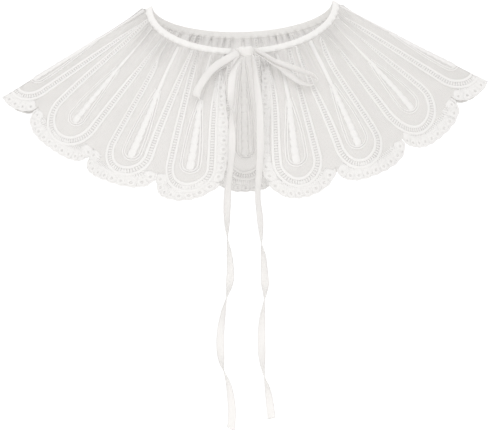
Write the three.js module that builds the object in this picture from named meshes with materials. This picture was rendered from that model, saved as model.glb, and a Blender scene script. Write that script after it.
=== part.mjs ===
// A wide, cape-like lace collar of fifteen scalloped petals, tied at the front with a ribbon bow.
// Millimetres, +Z up. The origin is the centre of the neck ring, level with its two side corners.
// The front looks along -Y, and the viewer's right is +X.
import * as THREE from 'three';

// Neck ring: an oval in plan, folded like a roof over its two side corners
const NECK_WIDTH = 162;
const NECK_FRONT_DEPTH = 58;
const NECK_BACK_DEPTH = 55;
const NECK_FRONT_DROP = 46;
const NECK_BACK_DROP = 19.5;
const NECK_GAP = 21;

// Hem: a pointed oval in plan, lowest at the centre front
const COLLAR_WIDTH = 430;
const HEM_FRONT_DEPTH = 90;
const HEM_BACK_DEPTH = 84;
const SHOULDER_DROP = 75;
const HEM_FRONT_DROP = 177;
const HEM_BACK_DROP = 165;
const HEM_PLAN_POWER = 1.6;
const HEM_DROP_POWER = 1.54;
const CHEST_SWELL = 5;

// Values of a petal are given at four heights: the neck, two places between, and the line of the tips
const HEIGHTS = [0, 0.4, 0.7, 1];

// Petals of each front, from its edge to the shoulder, and of the right one from shoulder to edge.
// hemWidth and lean: width at the hem, and lean of the tip along the hem.
// border and aside: half the width between the border's middle lines, and how far it stands aside.
// loopAside and loopHalf: how far the teardrop stands aside, and half its width at its round end.
// edging and loopToTip: width left below the border, and from the teardrop's end to the petal's tip.
// rounding and tip: how full each half of the scallop is, and how far down its lowest place lies.
const LEFT_PETALS = [
  { hemWidth: 56, lean: 0.12, border: [13.4, 13, 15.5, 18], aside: [0, 1.7, 0, -4.5],
    loopAside: [0, 1.2, -1.5, -6], loopHalf: 7, edging: 6, loopToTip: 22.5,
    rounding: [1.7, 2.5], tip: 1.015 },
  { hemWidth: 71, lean: 0.08, border: [13.4, 14.5, 16.9, 20], aside: [0, -2.5, -2.9, -6],
    loopAside: [0, -3, -5.8, -9.5], loopHalf: 7.4, edging: 6.5, loopToTip: 21.5,
    rounding: [2.3, 3.2], tip: 1.018 },
  { hemWidth: 81, lean: -0.14, border: [13.4, 19.5, 22.5, 24], aside: [0, 0, 2, 3],
    loopAside: [0, 0, 0, 0], loopHalf: 8.2, edging: 7, loopToTip: 27,
    rounding: [2.3, 2.8], tip: 1.005 },
  { hemWidth: 66, lean: 0, border: [12.4, 15.7, 17.9, 19.9], aside: [0, 0, 0, 0],
    loopAside: [0, 0, 0, 0], loopHalf: 8.2, edging: 9, loopToTip: 30,
    rounding: [1.8, 2.3], tip: 1 },
];
const BACK_PETAL = {
  lean: 0, border: [11.5, 14.7, 16.9, 19], aside: [0, 0, 0, 0],
  loopAside: [0, 0, 0, 0], loopHalf: 8.2, edging: 10.8, loopToTip: 31,
  rounding: [2.3, 2.3], tip: 1,
};
const RIGHT_PETALS = [
  { hemWidth: 72, lean: 0, border: [12.4, 16.9, 19.9, 22.9], aside: [0, 0, 0, 0],
    loopAside: [0, 0, 0, 0], loopHalf: 8.2, edging: 9, loopToTip: 30,
    rounding: [2.3, 1.9], tip: 1 },
  { hemWidth: 75, lean: 0.2, border: [13.4, 18, 23.5, 26], aside: [0, 3, 2.5, 2],
    loopAside: [0, 1.3, 0.3, 0], loopHalf: 10.5, edging: 12, loopToTip: 31.6,
    rounding: [2.8, 1.7], tip: 1 },
  { hemWidth: 74.5, lean: 0.08, border: [13.4, 14.2, 17.8, 21], aside: [0, 5.3, 4, 6],
    loopAside: [0, 2.2, 3.6, 6], loopHalf: 9, edging: 9, loopToTip: 26.6,
    rounding: [2.4, 2], tip: 1 },
  { hemWidth: 61.5, lean: 0.07, border: [13.4, 11.8, 15.1, 18], aside: [0, -1, 0, 1],
    loopAside: [0, -1.5, 0.5, 1.5], loopHalf: 7.6, edging: 9, loopToTip: 27,
    rounding: [1.8, 2.3], tip: 1 },
];
const BACK_PETALS = 7;

// How far each front edge curves out towards the other, at the four heights
const LEFT_EDGE_OUT = [0, 1.8, 6.5, -7];
const RIGHT_EDGE_OUT = [0, 3.3, 8.6, -9];
const EDGE_OUT_POWER = 4;
const NOTCH_SHARE = 0.136;
const FLUTE_DEPTH = 5;

// Cloth and the embroidery raised on it
const GROUND_THICKNESS = 1;
const EMBROIDERY_GAP = 0.6;
const EMBROIDERY_THICKNESS = 0.9;
const BORDER_WIDTH_TOP = 3.2;
const BORDER_WIDTH_HEM = 8.8;
const BORDER_START = 7;
const LOOP_CORD_WIDTH = 2.2;
const LOOP_HALF_TOP = 1.6;
const LOOP_POWER = 1.5;
const LOOP_START = 9;

// Binding folded over the neck edge
const BINDING_HEIGHT = 5.8;
const BINDING_WALL = 1;
const BINDING_CLEARANCE = 0.3;
const BINDING_STEPS_A_PETAL = 4;

// Ribbon of the bow: the middle line of each stretch, the slope of its width seen from the front,
// and its turn out of that view, both in degrees
const RIBBON_WIDTH = 6.5;
const RIBBON_THICKNESS = 1;

const LOOP_LEFT_ROUTE = [
  { x: -4.9, y: -64.6, z: -48.4, slope: 40, turn: 0 },
  { x: -12, y: -68.3, z: -52.7, slope: 44, turn: 0 },
  { x: -19.6, y: -70.4, z: -57.1, slope: 46, turn: 0 },
  { x: -25.2, y: -71.6, z: -61, slope: 43, turn: 0 },
  { x: -29.9, y: -73, z: -65.7, slope: 36, turn: 0 },
  { x: -33.8, y: -74.3, z: -70.9, slope: 30, turn: 0 },
  { x: -37.2, y: -75.7, z: -75.9, slope: 25, turn: 0 },
  { x: -39.8, y: -76.8, z: -80.5, slope: 26, turn: 0 },
  { x: -40.6, y: -77, z: -84, slope: 34, turn: 0 },
  { x: -40, y: -75.2, z: -85.7, slope: 38, turn: 0 },
  { x: -39.2, y: -73.4, z: -84.4, slope: 34, turn: 0 },
  { x: -37.7, y: -72.4, z: -80.3, slope: 22, turn: 0 },
  { x: -35.9, y: -71.2, z: -74.8, slope: 22, turn: 0 },
  { x: -32.9, y: -70, z: -69.4, slope: 32, turn: 0 },
  { x: -28.1, y: -68.8, z: -64.3, slope: 40, turn: 0 },
  { x: -21.8, y: -67.4, z: -60.5, slope: 46, turn: 0 },
  { x: -15.4, y: -66, z: -56.4, slope: 50, turn: 0 },
  { x: -7.9, y: -62.5, z: -48.3, slope: 44, turn: 0 },
];

const LOOP_RIGHT_ROUTE = [
  { x: 9.5, y: -64.6, z: -46.4, slope: -55, turn: -82 },
  { x: 14.8, y: -67.8, z: -50.3, slope: -58, turn: -70 },
  { x: 20.2, y: -69.3, z: -53.8, slope: -60, turn: -62 },
  { x: 26, y: -69.9, z: -57.3, slope: -64, turn: -58 },
  { x: 31.8, y: -69.9, z: -59.5, slope: -70, turn: -52 },
  { x: 38.5, y: -69.3, z: -62.1, slope: -71, turn: -52 },
  { x: 46.1, y: -68.5, z: -65, slope: -70, turn: -56 },
  { x: 53.6, y: -67.8, z: -67.9, slope: -66, turn: -66 },
  { x: 59.3, y: -67.4, z: -70.9, slope: -50, turn: -80 },
  { x: 61.7, y: -67.4, z: -74.3, slope: 0, turn: -88 },
  { x: 60.1, y: -67.6, z: -77.3, slope: 70, turn: -86 },
  { x: 54.7, y: -67.8, z: -77.9, slope: 98, turn: -72 },
  { x: 48.3, y: -68, z: -76.1, slope: 112, turn: -56 },
  { x: 42.9, y: -68.4, z: -72.8, slope: 124, turn: -42 },
  { x: 37.8, y: -68.8, z: -68.7, slope: 128, turn: -38 },
  { x: 32.2, y: -68.6, z: -64.1, slope: 127, turn: -48 },
  { x: 26.3, y: -68, z: -60.2, slope: 122, turn: -62 },
  { x: 20.2, y: -67.2, z: -56.2, slope: 120, turn: -72 },
  { x: 14.8, y: -66.4, z: -52.9, slope: 120, turn: -80 },
  { x: 9.9, y: -65, z: -49.9, slope: 120, turn: -84 },
];

const TAIL_LEFT_ROUTE = [
  { x: -2.4, y: -63, z: -51.9, slope: 0, turn: -60 },
  { x: -8, y: -67, z: -62, slope: 0, turn: -40 },
  { x: -10.7, y: -71, z: -71, slope: 0, turn: 0 },
  { x: -11.9, y: -74.5, z: -82, slope: 0, turn: 15 },
  { x: -12.2, y: -78.5, z: -94, slope: 0, turn: 60 },
  { x: -12.4, y: -81, z: -103, slope: 0, turn: 115 },
  { x: -11.9, y: -83, z: -115, slope: 0, turn: 145 },
  { x: -12.4, y: -85.6, z: -130, slope: 0, turn: 200 },
  { x: -14.1, y: -88.5, z: -147, slope: 0, turn: 225 },
  { x: -16.4, y: -90.2, z: -162, slope: 0, turn: 222 },
  { x: -17.6, y: -91.2, z: -174, slope: 0, turn: 205 },
  { x: -18.3, y: -91.3, z: -190, slope: 0, turn: 225 },
  { x: -18.3, y: -91.3, z: -205, slope: 0, turn: 270 },
  { x: -17.1, y: -91.3, z: -219, slope: 0, turn: 310 },
  { x: -16.7, y: -91.3, z: -235, slope: 0, turn: 340 },
  { x: -18.2, y: -91.3, z: -245, slope: 0, turn: 400 },
  { x: -20.6, y: -91.3, z: -255, slope: 0, turn: 450 },
  { x: -23.6, y: -91.3, z: -267, slope: 0, turn: 486 },
  { x: -26.2, y: -91.3, z: -282, slope: 0, turn: 515 },
  { x: -26.9, y: -91.3, z: -298, slope: 0, turn: 555 },
  { x: -26, y: -91.3, z: -309, slope: 0, turn: 598 },
  { x: -24.5, y: -91.3, z: -315, slope: 0, turn: 630 },
  { x: -21.4, y: -91.3, z: -325, slope: 0, turn: 662 },
  { x: -19.5, y: -91.3, z: -337, slope: 0, turn: 694 },
  { x: -19, y: -91.3, z: -352, slope: 0, turn: 722 },
  { x: -20.1, y: -91.3, z: -364, slope: 0, turn: 738 },
];

const TAIL_RIGHT_ROUTE = [
  { x: 6.6, y: -63.2, z: -52, slope: 0, turn: -70 },
  { x: 8.2, y: -66.5, z: -59, slope: 0, turn: -58 },
  { x: 9.6, y: -71.5, z: -71, slope: 0, turn: -48 },
  { x: 10.7, y: -75, z: -83, slope: 0, turn: -35 },
  { x: 11.7, y: -78, z: -95, slope: 0, turn: -25 },
  { x: 11.8, y: -82, z: -115, slope: 0, turn: -10 },
  { x: 11.3, y: -85.5, z: -135, slope: 0, turn: 20 },
  { x: 9.5, y: -88.5, z: -153, slope: 0, turn: 40 },
  { x: 7.9, y: -90.7, z: -170, slope: 0, turn: 50 },
  { x: 9.2, y: -91.3, z: -189, slope: 0, turn: 42 },
  { x: 9.7, y: -91.3, z: -201, slope: 0, turn: 60 },
  { x: 10, y: -91.3, z: -211, slope: 0, turn: 90 },
  { x: 11.1, y: -91.3, z: -221, slope: 0, turn: 128 },
  { x: 11.7, y: -91.3, z: -237, slope: 0, turn: 150 },
  { x: 11.6, y: -91.3, z: -249, slope: 0, turn: 230 },
  { x: 10.8, y: -91.3, z: -258, slope: 0, turn: 272 },
  { x: 8.9, y: -91.3, z: -271, slope: 0, turn: 310 },
  { x: 7.6, y: -91.3, z: -287, slope: 0, turn: 345 },
  { x: 7.4, y: -91.3, z: -303, slope: 0, turn: 390 },
  { x: 8, y: -91.3, z: -314, slope: 0, turn: 425 },
  { x: 9.1, y: -91.3, z: -321, slope: 0, turn: 450 },
  { x: 11.3, y: -91.3, z: -331, slope: 0, turn: 490 },
  { x: 12.7, y: -91.3, z: -342, slope: 0, turn: 520 },
  { x: 13.9, y: -91.3, z: -356, slope: 0, turn: 545 },
];

// Knot: oval sections from the left end of the binding to the right one
const KNOT_SECTIONS = [
  { x: -10.2, y: -57.8, z: -47.4, halfDepth: 1.2, halfHeight: 2.3 },
  { x: -7.2, y: -59.6, z: -47.4, halfDepth: 1.1, halfHeight: 2.2 },
  { x: -5, y: -61.4, z: -47.4, halfDepth: 1.9, halfHeight: 3.1 },
  { x: -2, y: -62.8, z: -47.4, halfDepth: 3, halfHeight: 4 },
  { x: 2.2, y: -63.1, z: -47.5, halfDepth: 3.3, halfHeight: 4.2 },
  { x: 6.4, y: -62.8, z: -47.6, halfDepth: 3, halfHeight: 4 },
  { x: 9, y: -60.6, z: -47.5, halfDepth: 2, halfHeight: 3 },
  { x: 10.2, y: -58, z: -47.4, halfDepth: 1.2, halfHeight: 2.3 },
];
const KNOT_SIDES = 10;

const GRID_ACROSS = 8;
const GRID_ALONG = 8;
const CURVE_STEPS = 720;
const U_SIDE_STEPS = 6;
const U_ROUND_STEPS = 8;
const LOOP_STEPS = 30;
const TAIL_STEPS = 52;
const COUNT = LEFT_PETALS.length + BACK_PETALS + RIGHT_PETALS.length;

const NET_LOOK = { color: 0xf4f3f0, roughness: 0.85, metalness: 0 };
const THREAD_LOOK = { color: 0xfbfaf7, roughness: 0.7, metalness: 0 };
const BINDING_LOOK = { color: 0xf8f7f4, roughness: 0.75, metalness: 0 };
const RIBBON_LOOK = { color: 0xfdfcfb, roughness: 0.4, metalness: 0 };

// A curve round the body as points with their running length, so that it can be read by length
function measuredCurve(pointAt) {
  const points = [];
  const lengths = [0];
  for (let k = 0; k <= CURVE_STEPS; k += 1) {
    const angle = Math.PI / 2 - (2 * Math.PI * k) / CURVE_STEPS;
    points.push(pointAt(angle));
    if (k > 0) {
      lengths.push(lengths[k - 1] + points[k].distanceTo(points[k - 1]));
    }
  }
  return { points, lengths, total: lengths[CURVE_STEPS] };
}

function pointAtLength(curve, length) {
  let low = 0;
  let high = CURVE_STEPS;
  while (high - low > 1) {
    const middle = Math.floor((low + high) / 2);
    if (curve.lengths[middle] <= length) {
      low = middle;
    } else {
      high = middle;
    }
  }
  const span = curve.lengths[high] - curve.lengths[low];
  return curve.points[low].clone().lerp(curve.points[high], (length - curve.lengths[low]) / span);
}

// The angle is 90 degrees at the centre front, 0 at the left shoulder and -90 at the centre back
function neckPoint(angle) {
  const reach = Math.sin(angle);
  const depth = reach > 0 ? NECK_FRONT_DEPTH : NECK_BACK_DEPTH;
  const drop = reach > 0 ? NECK_FRONT_DROP : NECK_BACK_DROP;
  return new THREE.Vector3(-(NECK_WIDTH / 2) * Math.cos(angle), -depth * reach, -drop * Math.abs(reach));
}

function hemPoint(angle) {
  const front = Math.sin(angle) > 0;
  const reach = Math.abs(Math.sin(angle));
  const depth = front ? -HEM_FRONT_DEPTH : HEM_BACK_DEPTH;
  const drop = (front ? HEM_FRONT_DROP : HEM_BACK_DROP) - SHOULDER_DROP;
  const x = -(COLLAR_WIDTH / 2) * Math.cos(angle);
  return new THREE.Vector3(x, depth * reach ** HEM_PLAN_POWER, -SHOULDER_DROP - drop * reach ** HEM_DROP_POWER);
}

const neckCurve = measuredCurve(neckPoint);
const hemCurve = measuredCurve(hemPoint);

// The middle of each shoulder petal lies on the fold over the shoulder
const SHOULDER_LEFT = LEFT_PETALS.length - 0.5;
const SHOULDER_RIGHT = COUNT - RIGHT_PETALS.length + 0.5;
const neckFold = neckCurve.lengths[CURVE_STEPS / 4];
const hemFold = hemCurve.lengths[CURVE_STEPS / 4];
const shoulderWidth = (LEFT_PETALS[LEFT_PETALS.length - 1].hemWidth + RIGHT_PETALS[0].hemWidth) / 2;
const backWidth = (hemCurve.total - 2 * hemFold - shoulderWidth) / BACK_PETALS;
const BACK_ROWS = Array.from({ length: BACK_PETALS }, () => ({ ...BACK_PETAL, hemWidth: backWidth }));
const PETALS = [...LEFT_PETALS, ...BACK_ROWS, ...RIGHT_PETALS];
const leftHalf = LEFT_PETALS.reduce((sum, petal) => sum + petal.hemWidth, 0) - LEFT_PETALS.at(-1).hemWidth / 2;
const hemStarts = [hemFold - leftHalf];
for (const petal of PETALS) {
  hemStarts.push(hemStarts[hemStarts.length - 1] + petal.hemWidth);
}

// Length along the neck edge at which a place of the cloth starts
function neckPlace(along) {
  const frontPitch = (neckFold - NECK_GAP / 2) / SHOULDER_LEFT;
  const backPitch = (neckCurve.total - 2 * neckFold) / (SHOULDER_RIGHT - SHOULDER_LEFT);
  if (along < SHOULDER_LEFT) {
    return NECK_GAP / 2 + along * frontPitch;
  }
  if (along <= SHOULDER_RIGHT) {
    return neckFold + (along - SHOULDER_LEFT) * backPitch;
  }
  return neckCurve.total - NECK_GAP / 2 - (COUNT - along) * frontPitch;
}

// The smooth curve through values given at the four heights
function throughHeights(values, t) {
  return values.reduce((sum, value, k) => {
    const others = HEIGHTS.filter((height, other) => other !== k);
    return sum + others.reduce((term, height) => (term * (t - height)) / (HEIGHTS[k] - height), value);
  }, 0);
}

// How far along the hem's line a place of the two front petals moves for the curve of its front edge
function edgeCurve(index, across, t) {
  const height = Math.max(t, 0.01);
  if (index === 0) {
    return (-throughHeights(LEFT_EDGE_OUT, height) / height) * (1 - across) ** EDGE_OUT_POWER;
  }
  if (index === COUNT - 1) {
    return (throughHeights(RIGHT_EDGE_OUT, height) / height) * across ** EDGE_OUT_POWER;
  }
  return 0;
}

// A point of the flat-ruled cloth: along counts petals from the left front edge, t runs from the
// neck edge to the line of the petals' tips
function ruledPoint(along, t) {
  const index = Math.min(Math.max(Math.floor(along), 0), COUNT - 1);
  const across = along - index;
  const lean = 4 * PETALS[index].lean * t * t * across * (1 - across);
  const neck = pointAtLength(neckCurve, neckPlace(along));
  const place = hemStarts[index] + (across + lean) * PETALS[index].hemWidth + edgeCurve(index, across, t);
  const hem = pointAtLength(hemCurve, place);
  return neck.lerp(hem, t);
}

// The direction out of the body
function outward(along, t) {
  const step = 0.02;
  const here = ruledPoint(along, t);
  const before = ruledPoint(Math.max(along - step, 0), t);
  const after = ruledPoint(Math.min(along + step, COUNT), t);
  const below = ruledPoint(along, t + step);
  return after.sub(before).cross(below.sub(here)).normalize();
}

// The draped cloth: the petals stand out as soft flutes, and the whole swells over chest and back
function drape(along, t, lift) {
  const normal = outward(along, t);
  const flute = (-FLUTE_DEPTH * t * (1 + Math.cos(2 * Math.PI * along))) / 2;
  const swell = CHEST_SWELL * Math.sin(Math.PI * Math.min(t, 1)) * (ruledPoint(along, 0).y / NECK_FRONT_DEPTH) ** 2;
  return ruledPoint(along, t).addScaledVector(normal, flute + swell + lift);
}

// How far down its petal the scalloped edge lies
function edgeShare(index, across) {
  const { rounding, tip } = PETALS[index];
  const power = rounding[across < 0.5 ? 0 : 1];
  const lobe = (1 - Math.abs(2 * across - 1) ** power) ** (1 / power);
  return 1 - NOTCH_SHARE + (tip - 1 + NOTCH_SHARE) * lobe;
}

function solidMesh(name, points, indices, look) {
  const positions = points.flatMap((point) => [point.x, point.y, point.z]);
  const geometry = new THREE.BufferGeometry();
  geometry.setAttribute('position', new THREE.Float32BufferAttribute(positions, 3));
  geometry.setIndex(indices);
  geometry.computeVertexNormals();
  const mesh = new THREE.Mesh(geometry, new THREE.MeshStandardMaterial(look));
  mesh.name = name;
  return mesh;
}

// The net cape: an outer and an inner grid of points, closed round the rim
function buildGround() {
  const columns = COUNT * GRID_ACROSS;
  const points = [];
  for (const lift of [GROUND_THICKNESS / 2, -GROUND_THICKNESS / 2]) {
    for (let c = 0; c <= columns; c += 1) {
      const edge = edgeShare(Math.min(Math.floor(c / GRID_ACROSS), COUNT - 1), (c % GRID_ACROSS) / GRID_ACROSS);
      for (let r = 0; r <= GRID_ALONG; r += 1) {
        points.push(drape(c / GRID_ACROSS, (edge * r) / GRID_ALONG, lift));
      }
    }
  }
  const layerSize = (columns + 1) * (GRID_ALONG + 1);
  const at = (layer, c, r) => layer * layerSize + c * (GRID_ALONG + 1) + r;
  const indices = [];
  const quad = (a, b, c, d) => indices.push(a, b, c, a, c, d);
  const hem = GRID_ALONG;
  for (let c = 0; c < columns; c += 1) {
    for (let r = 0; r < GRID_ALONG; r += 1) {
      quad(at(0, c, r), at(0, c + 1, r), at(0, c + 1, r + 1), at(0, c, r + 1));
      quad(at(1, c, r), at(1, c, r + 1), at(1, c + 1, r + 1), at(1, c + 1, r));
    }
    quad(at(0, c, 0), at(1, c, 0), at(1, c + 1, 0), at(0, c + 1, 0));
    quad(at(0, c, hem), at(0, c + 1, hem), at(1, c + 1, hem), at(1, c, hem));
  }
  for (let r = 0; r < GRID_ALONG; r += 1) {
    quad(at(0, 0, r), at(0, 0, r + 1), at(1, 0, r + 1), at(1, 0, r));
    quad(at(0, columns, r), at(1, columns, r), at(1, columns, r + 1), at(0, columns, r + 1));
  }
  return solidMesh('lace_ground', points, indices, NET_LOOK);
}

// A body swept through rings of points, with a flat cap at each end
function sweptMesh(name, rings, capTriangles, look) {
  const size = rings[0].length;
  const last = (rings.length - 1) * size;
  const indices = [];
  for (let k = 0; k < rings.length - 1; k += 1) {
    for (let j = 0; j < size; j += 1) {
      const a = k * size + j;
      const b = k * size + ((j + 1) % size);
      indices.push(a, a + size, b + size, a, b + size, b);
    }
  }
  for (const [a, b, c] of capTriangles) {
    indices.push(a, b, c);
    indices.push(last + a, last + c, last + b);
  }
  return solidMesh(name, rings.flat(), indices, look);
}

// Triangles from the first corner to each further pair, for a convex end
function fanCap(size) {
  return Array.from({ length: size - 2 }, (_, k) => [0, k + 1, k + 2]);
}

function petalLength(index) {
  return ruledPoint(index + 0.5, 0).distanceTo(ruledPoint(index + 0.5, 1));
}

function petalWidth(index, t) {
  const atNeck = neckPlace(index + 1) - neckPlace(index);
  return atNeck + (PETALS[index].hemWidth - atNeck) * t;
}

function borderWidth(t) {
  return BORDER_WIDTH_TOP + (BORDER_WIDTH_HEM - BORDER_WIDTH_TOP) * (1 - (1 - t) ** 2);
}

// A long U inside a petal: down one side, round the bottom and up the other, in millimetres
function petalU(start, bottom, halfWidthAt) {
  const radius = halfWidthAt(bottom);
  const centre = bottom - radius;
  const middleHalf = halfWidthAt(centre);
  const side = Array.from({ length: U_SIDE_STEPS }, (_, k) => {
    const down = start + ((centre - start) * k) / U_SIDE_STEPS;
    return { side: -halfWidthAt(down), down };
  });
  const round = Array.from({ length: U_ROUND_STEPS + 1 }, (_, k) => {
    const turn = (Math.PI * k) / U_ROUND_STEPS;
    return { side: -middleHalf * Math.cos(turn), down: centre + radius * Math.sin(turn) };
  });
  const otherSide = side.map((place) => ({ side: -place.side, down: place.down })).reverse();
  return [...side, ...round, ...otherSide];
}

// A flat raised band of the given width along a U, lying just over the net
function raisedBand(name, index, places, widthAt, aside, look) {
  const length = petalLength(index);
  const base = GROUND_THICKNESS / 2 + EMBROIDERY_GAP;
  const toPoint = (side, down, lift) => {
    const t = down / length;
    return drape(index + 0.5 + (side + throughHeights(aside, t)) / petalWidth(index, t), t, lift);
  };
  const rings = places.map(({ side, down }, k) => {
    const before = places[Math.max(k - 1, 0)];
    const after = places[Math.min(k + 1, places.length - 1)];
    const run = new THREE.Vector2(after.side - before.side, after.down - before.down).normalize();
    // The draped cloth is wider than the flat pattern where a front edge curves out
    const reach = toPoint(side - run.y / 2, down + run.x / 2, base);
    const stretch = reach.distanceTo(toPoint(side + run.y / 2, down - run.x / 2, base));
    const half = widthAt(down) / 2 / stretch;
    const left = [side - run.y * half, down + run.x * half];
    const right = [side + run.y * half, down - run.x * half];
    const top = base + EMBROIDERY_THICKNESS;
    return [toPoint(...left, base), toPoint(...right, base), toPoint(...right, top), toPoint(...left, top)];
  });
  return sweptMesh(name, rings, fanCap(4), look);
}

function labelled(stem, index) {
  return `${stem}_${String(index + 1).padStart(2, '0')}`;
}

function buildBorder(index) {
  const length = petalLength(index);
  const { border, aside, edging } = PETALS[index];
  const widthAt = (down) => borderWidth(down / length);
  const halfWidthAt = (down) => throughHeights(border, down / length);
  const places = petalU(BORDER_START, length - edging - BORDER_WIDTH_HEM / 2, halfWidthAt);
  return raisedBand(labelled('petal_border', index), index, places, widthAt, aside, THREAD_LOOK);
}

function buildLoop(index) {
  const { loopAside, loopHalf, loopToTip } = PETALS[index];
  const bottom = petalLength(index) - loopToTip - LOOP_CORD_WIDTH / 2;
  const halfWidthAt = (down) => {
    const share = (down - LOOP_START) / (bottom - LOOP_START);
    return LOOP_HALF_TOP + (loopHalf - LOOP_HALF_TOP) * share ** LOOP_POWER;
  };
  const places = petalU(LOOP_START, bottom, halfWidthAt);
  const widthAt = () => LOOP_CORD_WIDTH;
  return raisedBand(labelled('petal_loop', index), index, places, widthAt, loopAside, THREAD_LOOK);
}

// The binding: a channel folded over the top edge of the net
function buildBinding() {
  const slot = GROUND_THICKNESS / 2 + BINDING_CLEARANCE;
  const outer = slot + BINDING_WALL;
  const top = -BINDING_CLEARANCE - BINDING_WALL;
  const bottom = top + BINDING_HEIGHT;
  const rings = [];
  for (let k = 0; k <= COUNT * BINDING_STEPS_A_PETAL; k += 1) {
    const along = k / BINDING_STEPS_A_PETAL;
    const length = ruledPoint(along, 0).distanceTo(ruledPoint(along, 1));
    const place = (out, below) => drape(along, below / length, out);
    rings.push([
      place(outer, top),
      place(outer, bottom),
      place(slot, bottom),
      place(slot, -BINDING_CLEARANCE),
      place(-slot, -BINDING_CLEARANCE),
      place(-slot, bottom),
      place(-outer, bottom),
      place(-outer, top),
    ]);
  }
  const caps = [[0, 1, 2], [0, 2, 3], [0, 3, 7], [3, 4, 7], [4, 5, 6], [4, 6, 7]];
  return sweptMesh('neck_binding', rings, caps, BINDING_LOOK);
}

// A flat ribbon along a smooth curve through the route's rows
function buildRibbon(name, route, steps) {
  const curve = new THREE.CatmullRomCurve3(route.map((row) => new THREE.Vector3(row.x, row.y, row.z)));
  const angles = new THREE.CatmullRomCurve3(route.map((row) => new THREE.Vector3(row.slope, row.turn, 0)));
  const rings = [];
  for (let k = 0; k <= steps; k += 1) {
    const share = k / steps;
    const centre = curve.getPoint(share);
    const run = curve.getTangent(share);
    const { x: slopeDegrees, y: turnDegrees } = angles.getPoint(share);
    const slope = THREE.MathUtils.degToRad(slopeDegrees);
    const turn = THREE.MathUtils.degToRad(turnDegrees);
    const flat = Math.cos(turn);
    const width = new THREE.Vector3(Math.cos(slope) * flat, Math.sin(turn), -Math.sin(slope) * flat);
    const face = run.clone().cross(width).normalize();
    const side = face.clone().cross(run).normalize();
    const corner = (across, out) =>
      centre.clone().addScaledVector(side, (across * RIBBON_WIDTH) / 2).addScaledVector(face, (out * RIBBON_THICKNESS) / 2);
    rings.push([corner(-1, -1), corner(-1, 1), corner(1, 1), corner(1, -1)]);
  }
  return sweptMesh(name, rings, fanCap(4), RIBBON_LOOK);
}

function buildKnot() {
  const rings = KNOT_SECTIONS.map((section) =>
    Array.from({ length: KNOT_SIDES }, (_, k) => {
      const turn = (-2 * Math.PI * k) / KNOT_SIDES;
      const y = section.y + section.halfDepth * Math.cos(turn);
      return new THREE.Vector3(section.x, y, section.z + section.halfHeight * Math.sin(turn));
    }));
  return sweptMesh('bow_knot', rings, fanCap(KNOT_SIDES), RIBBON_LOOK);
}

const collar = new THREE.Group();
collar.add(buildGround());
for (let index = 0; index < COUNT; index += 1) {
  collar.add(buildBorder(index));
}
for (let index = 0; index < COUNT; index += 1) {
  collar.add(buildLoop(index));
}
collar.add(buildBinding());

const bow = new THREE.Group();
bow.add(buildKnot());
bow.add(buildRibbon('bow_loop_left', LOOP_LEFT_ROUTE, LOOP_STEPS));
bow.add(buildRibbon('bow_loop_right', LOOP_RIGHT_ROUTE, LOOP_STEPS));
bow.add(buildRibbon('tie_tail_left', TAIL_LEFT_ROUTE, TAIL_STEPS));
bow.add(buildRibbon('tie_tail_right', TAIL_RIGHT_ROUTE, TAIL_STEPS));
collar.add(bow);

export default collar;
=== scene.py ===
"""A wide, cape-like lace collar of fifteen scalloped petals, tied at the front with a satin ribbon.

Each petal's embroidery is drawn on a flat pattern, in millimetres aside of the petal's middle line
and down from the neck edge, and is then laid on the draped net, whose sizes are those of the solids.
"""

import logging
import math
from collections.abc import Callable
from dataclasses import dataclass, field
from enum import Enum

import bpy
import numpy as np
from mathutils import Matrix, Vector


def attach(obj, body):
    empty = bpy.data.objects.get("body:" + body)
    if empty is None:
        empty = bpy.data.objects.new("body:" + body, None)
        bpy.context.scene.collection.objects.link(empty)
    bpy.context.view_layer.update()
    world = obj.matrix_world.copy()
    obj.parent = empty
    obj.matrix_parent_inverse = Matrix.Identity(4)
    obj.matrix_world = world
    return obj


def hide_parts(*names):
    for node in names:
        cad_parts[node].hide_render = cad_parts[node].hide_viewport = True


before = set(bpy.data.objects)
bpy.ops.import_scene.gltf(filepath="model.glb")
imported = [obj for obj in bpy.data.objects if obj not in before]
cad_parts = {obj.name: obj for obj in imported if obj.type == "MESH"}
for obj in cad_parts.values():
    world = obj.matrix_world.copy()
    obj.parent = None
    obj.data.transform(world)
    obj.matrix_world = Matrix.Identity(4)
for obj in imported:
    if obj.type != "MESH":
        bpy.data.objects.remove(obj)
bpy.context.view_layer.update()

LOG = logging.getLogger("collar")
MM = 0.001
PETALS = 15
COTTON_IOR = 1.53
POLYESTER_IOR = 1.57

Points = np.ndarray
Placer = Callable[[np.ndarray, np.ndarray, np.ndarray], np.ndarray]


def linear(hex_code: str) -> tuple[float, float, float, float]:
    """Turns an sRGB colour to the linear values that a shader takes.

    Args:
        hex_code: The colour as six hex digits after a hash sign.

    Returns:
        Red, green, blue and an alpha of one.
    """
    parts = [int(hex_code[k:k + 2], 16) / 255 for k in (1, 3, 5)]
    red, green, blue = (c / 12.92 if c <= 0.04045 else ((c + 0.055) / 1.055) ** 2.4 for c in parts)
    return red, green, blue, 1.0


def add_node(tree: bpy.types.NodeTree, kind: str, settings: dict | None = None,
             links: dict | None = None) -> bpy.types.Node:
    """Adds one node with its settings and its links.

    Args:
        tree: The node tree that takes the node.
        kind: The node's type name.
        settings: Values by attribute name or by input socket, a name or a number.
        links: Output sockets by the input socket that each one feeds.

    Returns:
        The new node.
    """
    node = tree.nodes.new(kind)
    for key, value in (settings or {}).items():
        if isinstance(key, str) and hasattr(node, key):
            setattr(node, key, value)
        else:
            node.inputs[key].default_value = value
    for key, socket in (links or {}).items():
        tree.links.new(socket, node.inputs[key])
    return node


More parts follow.
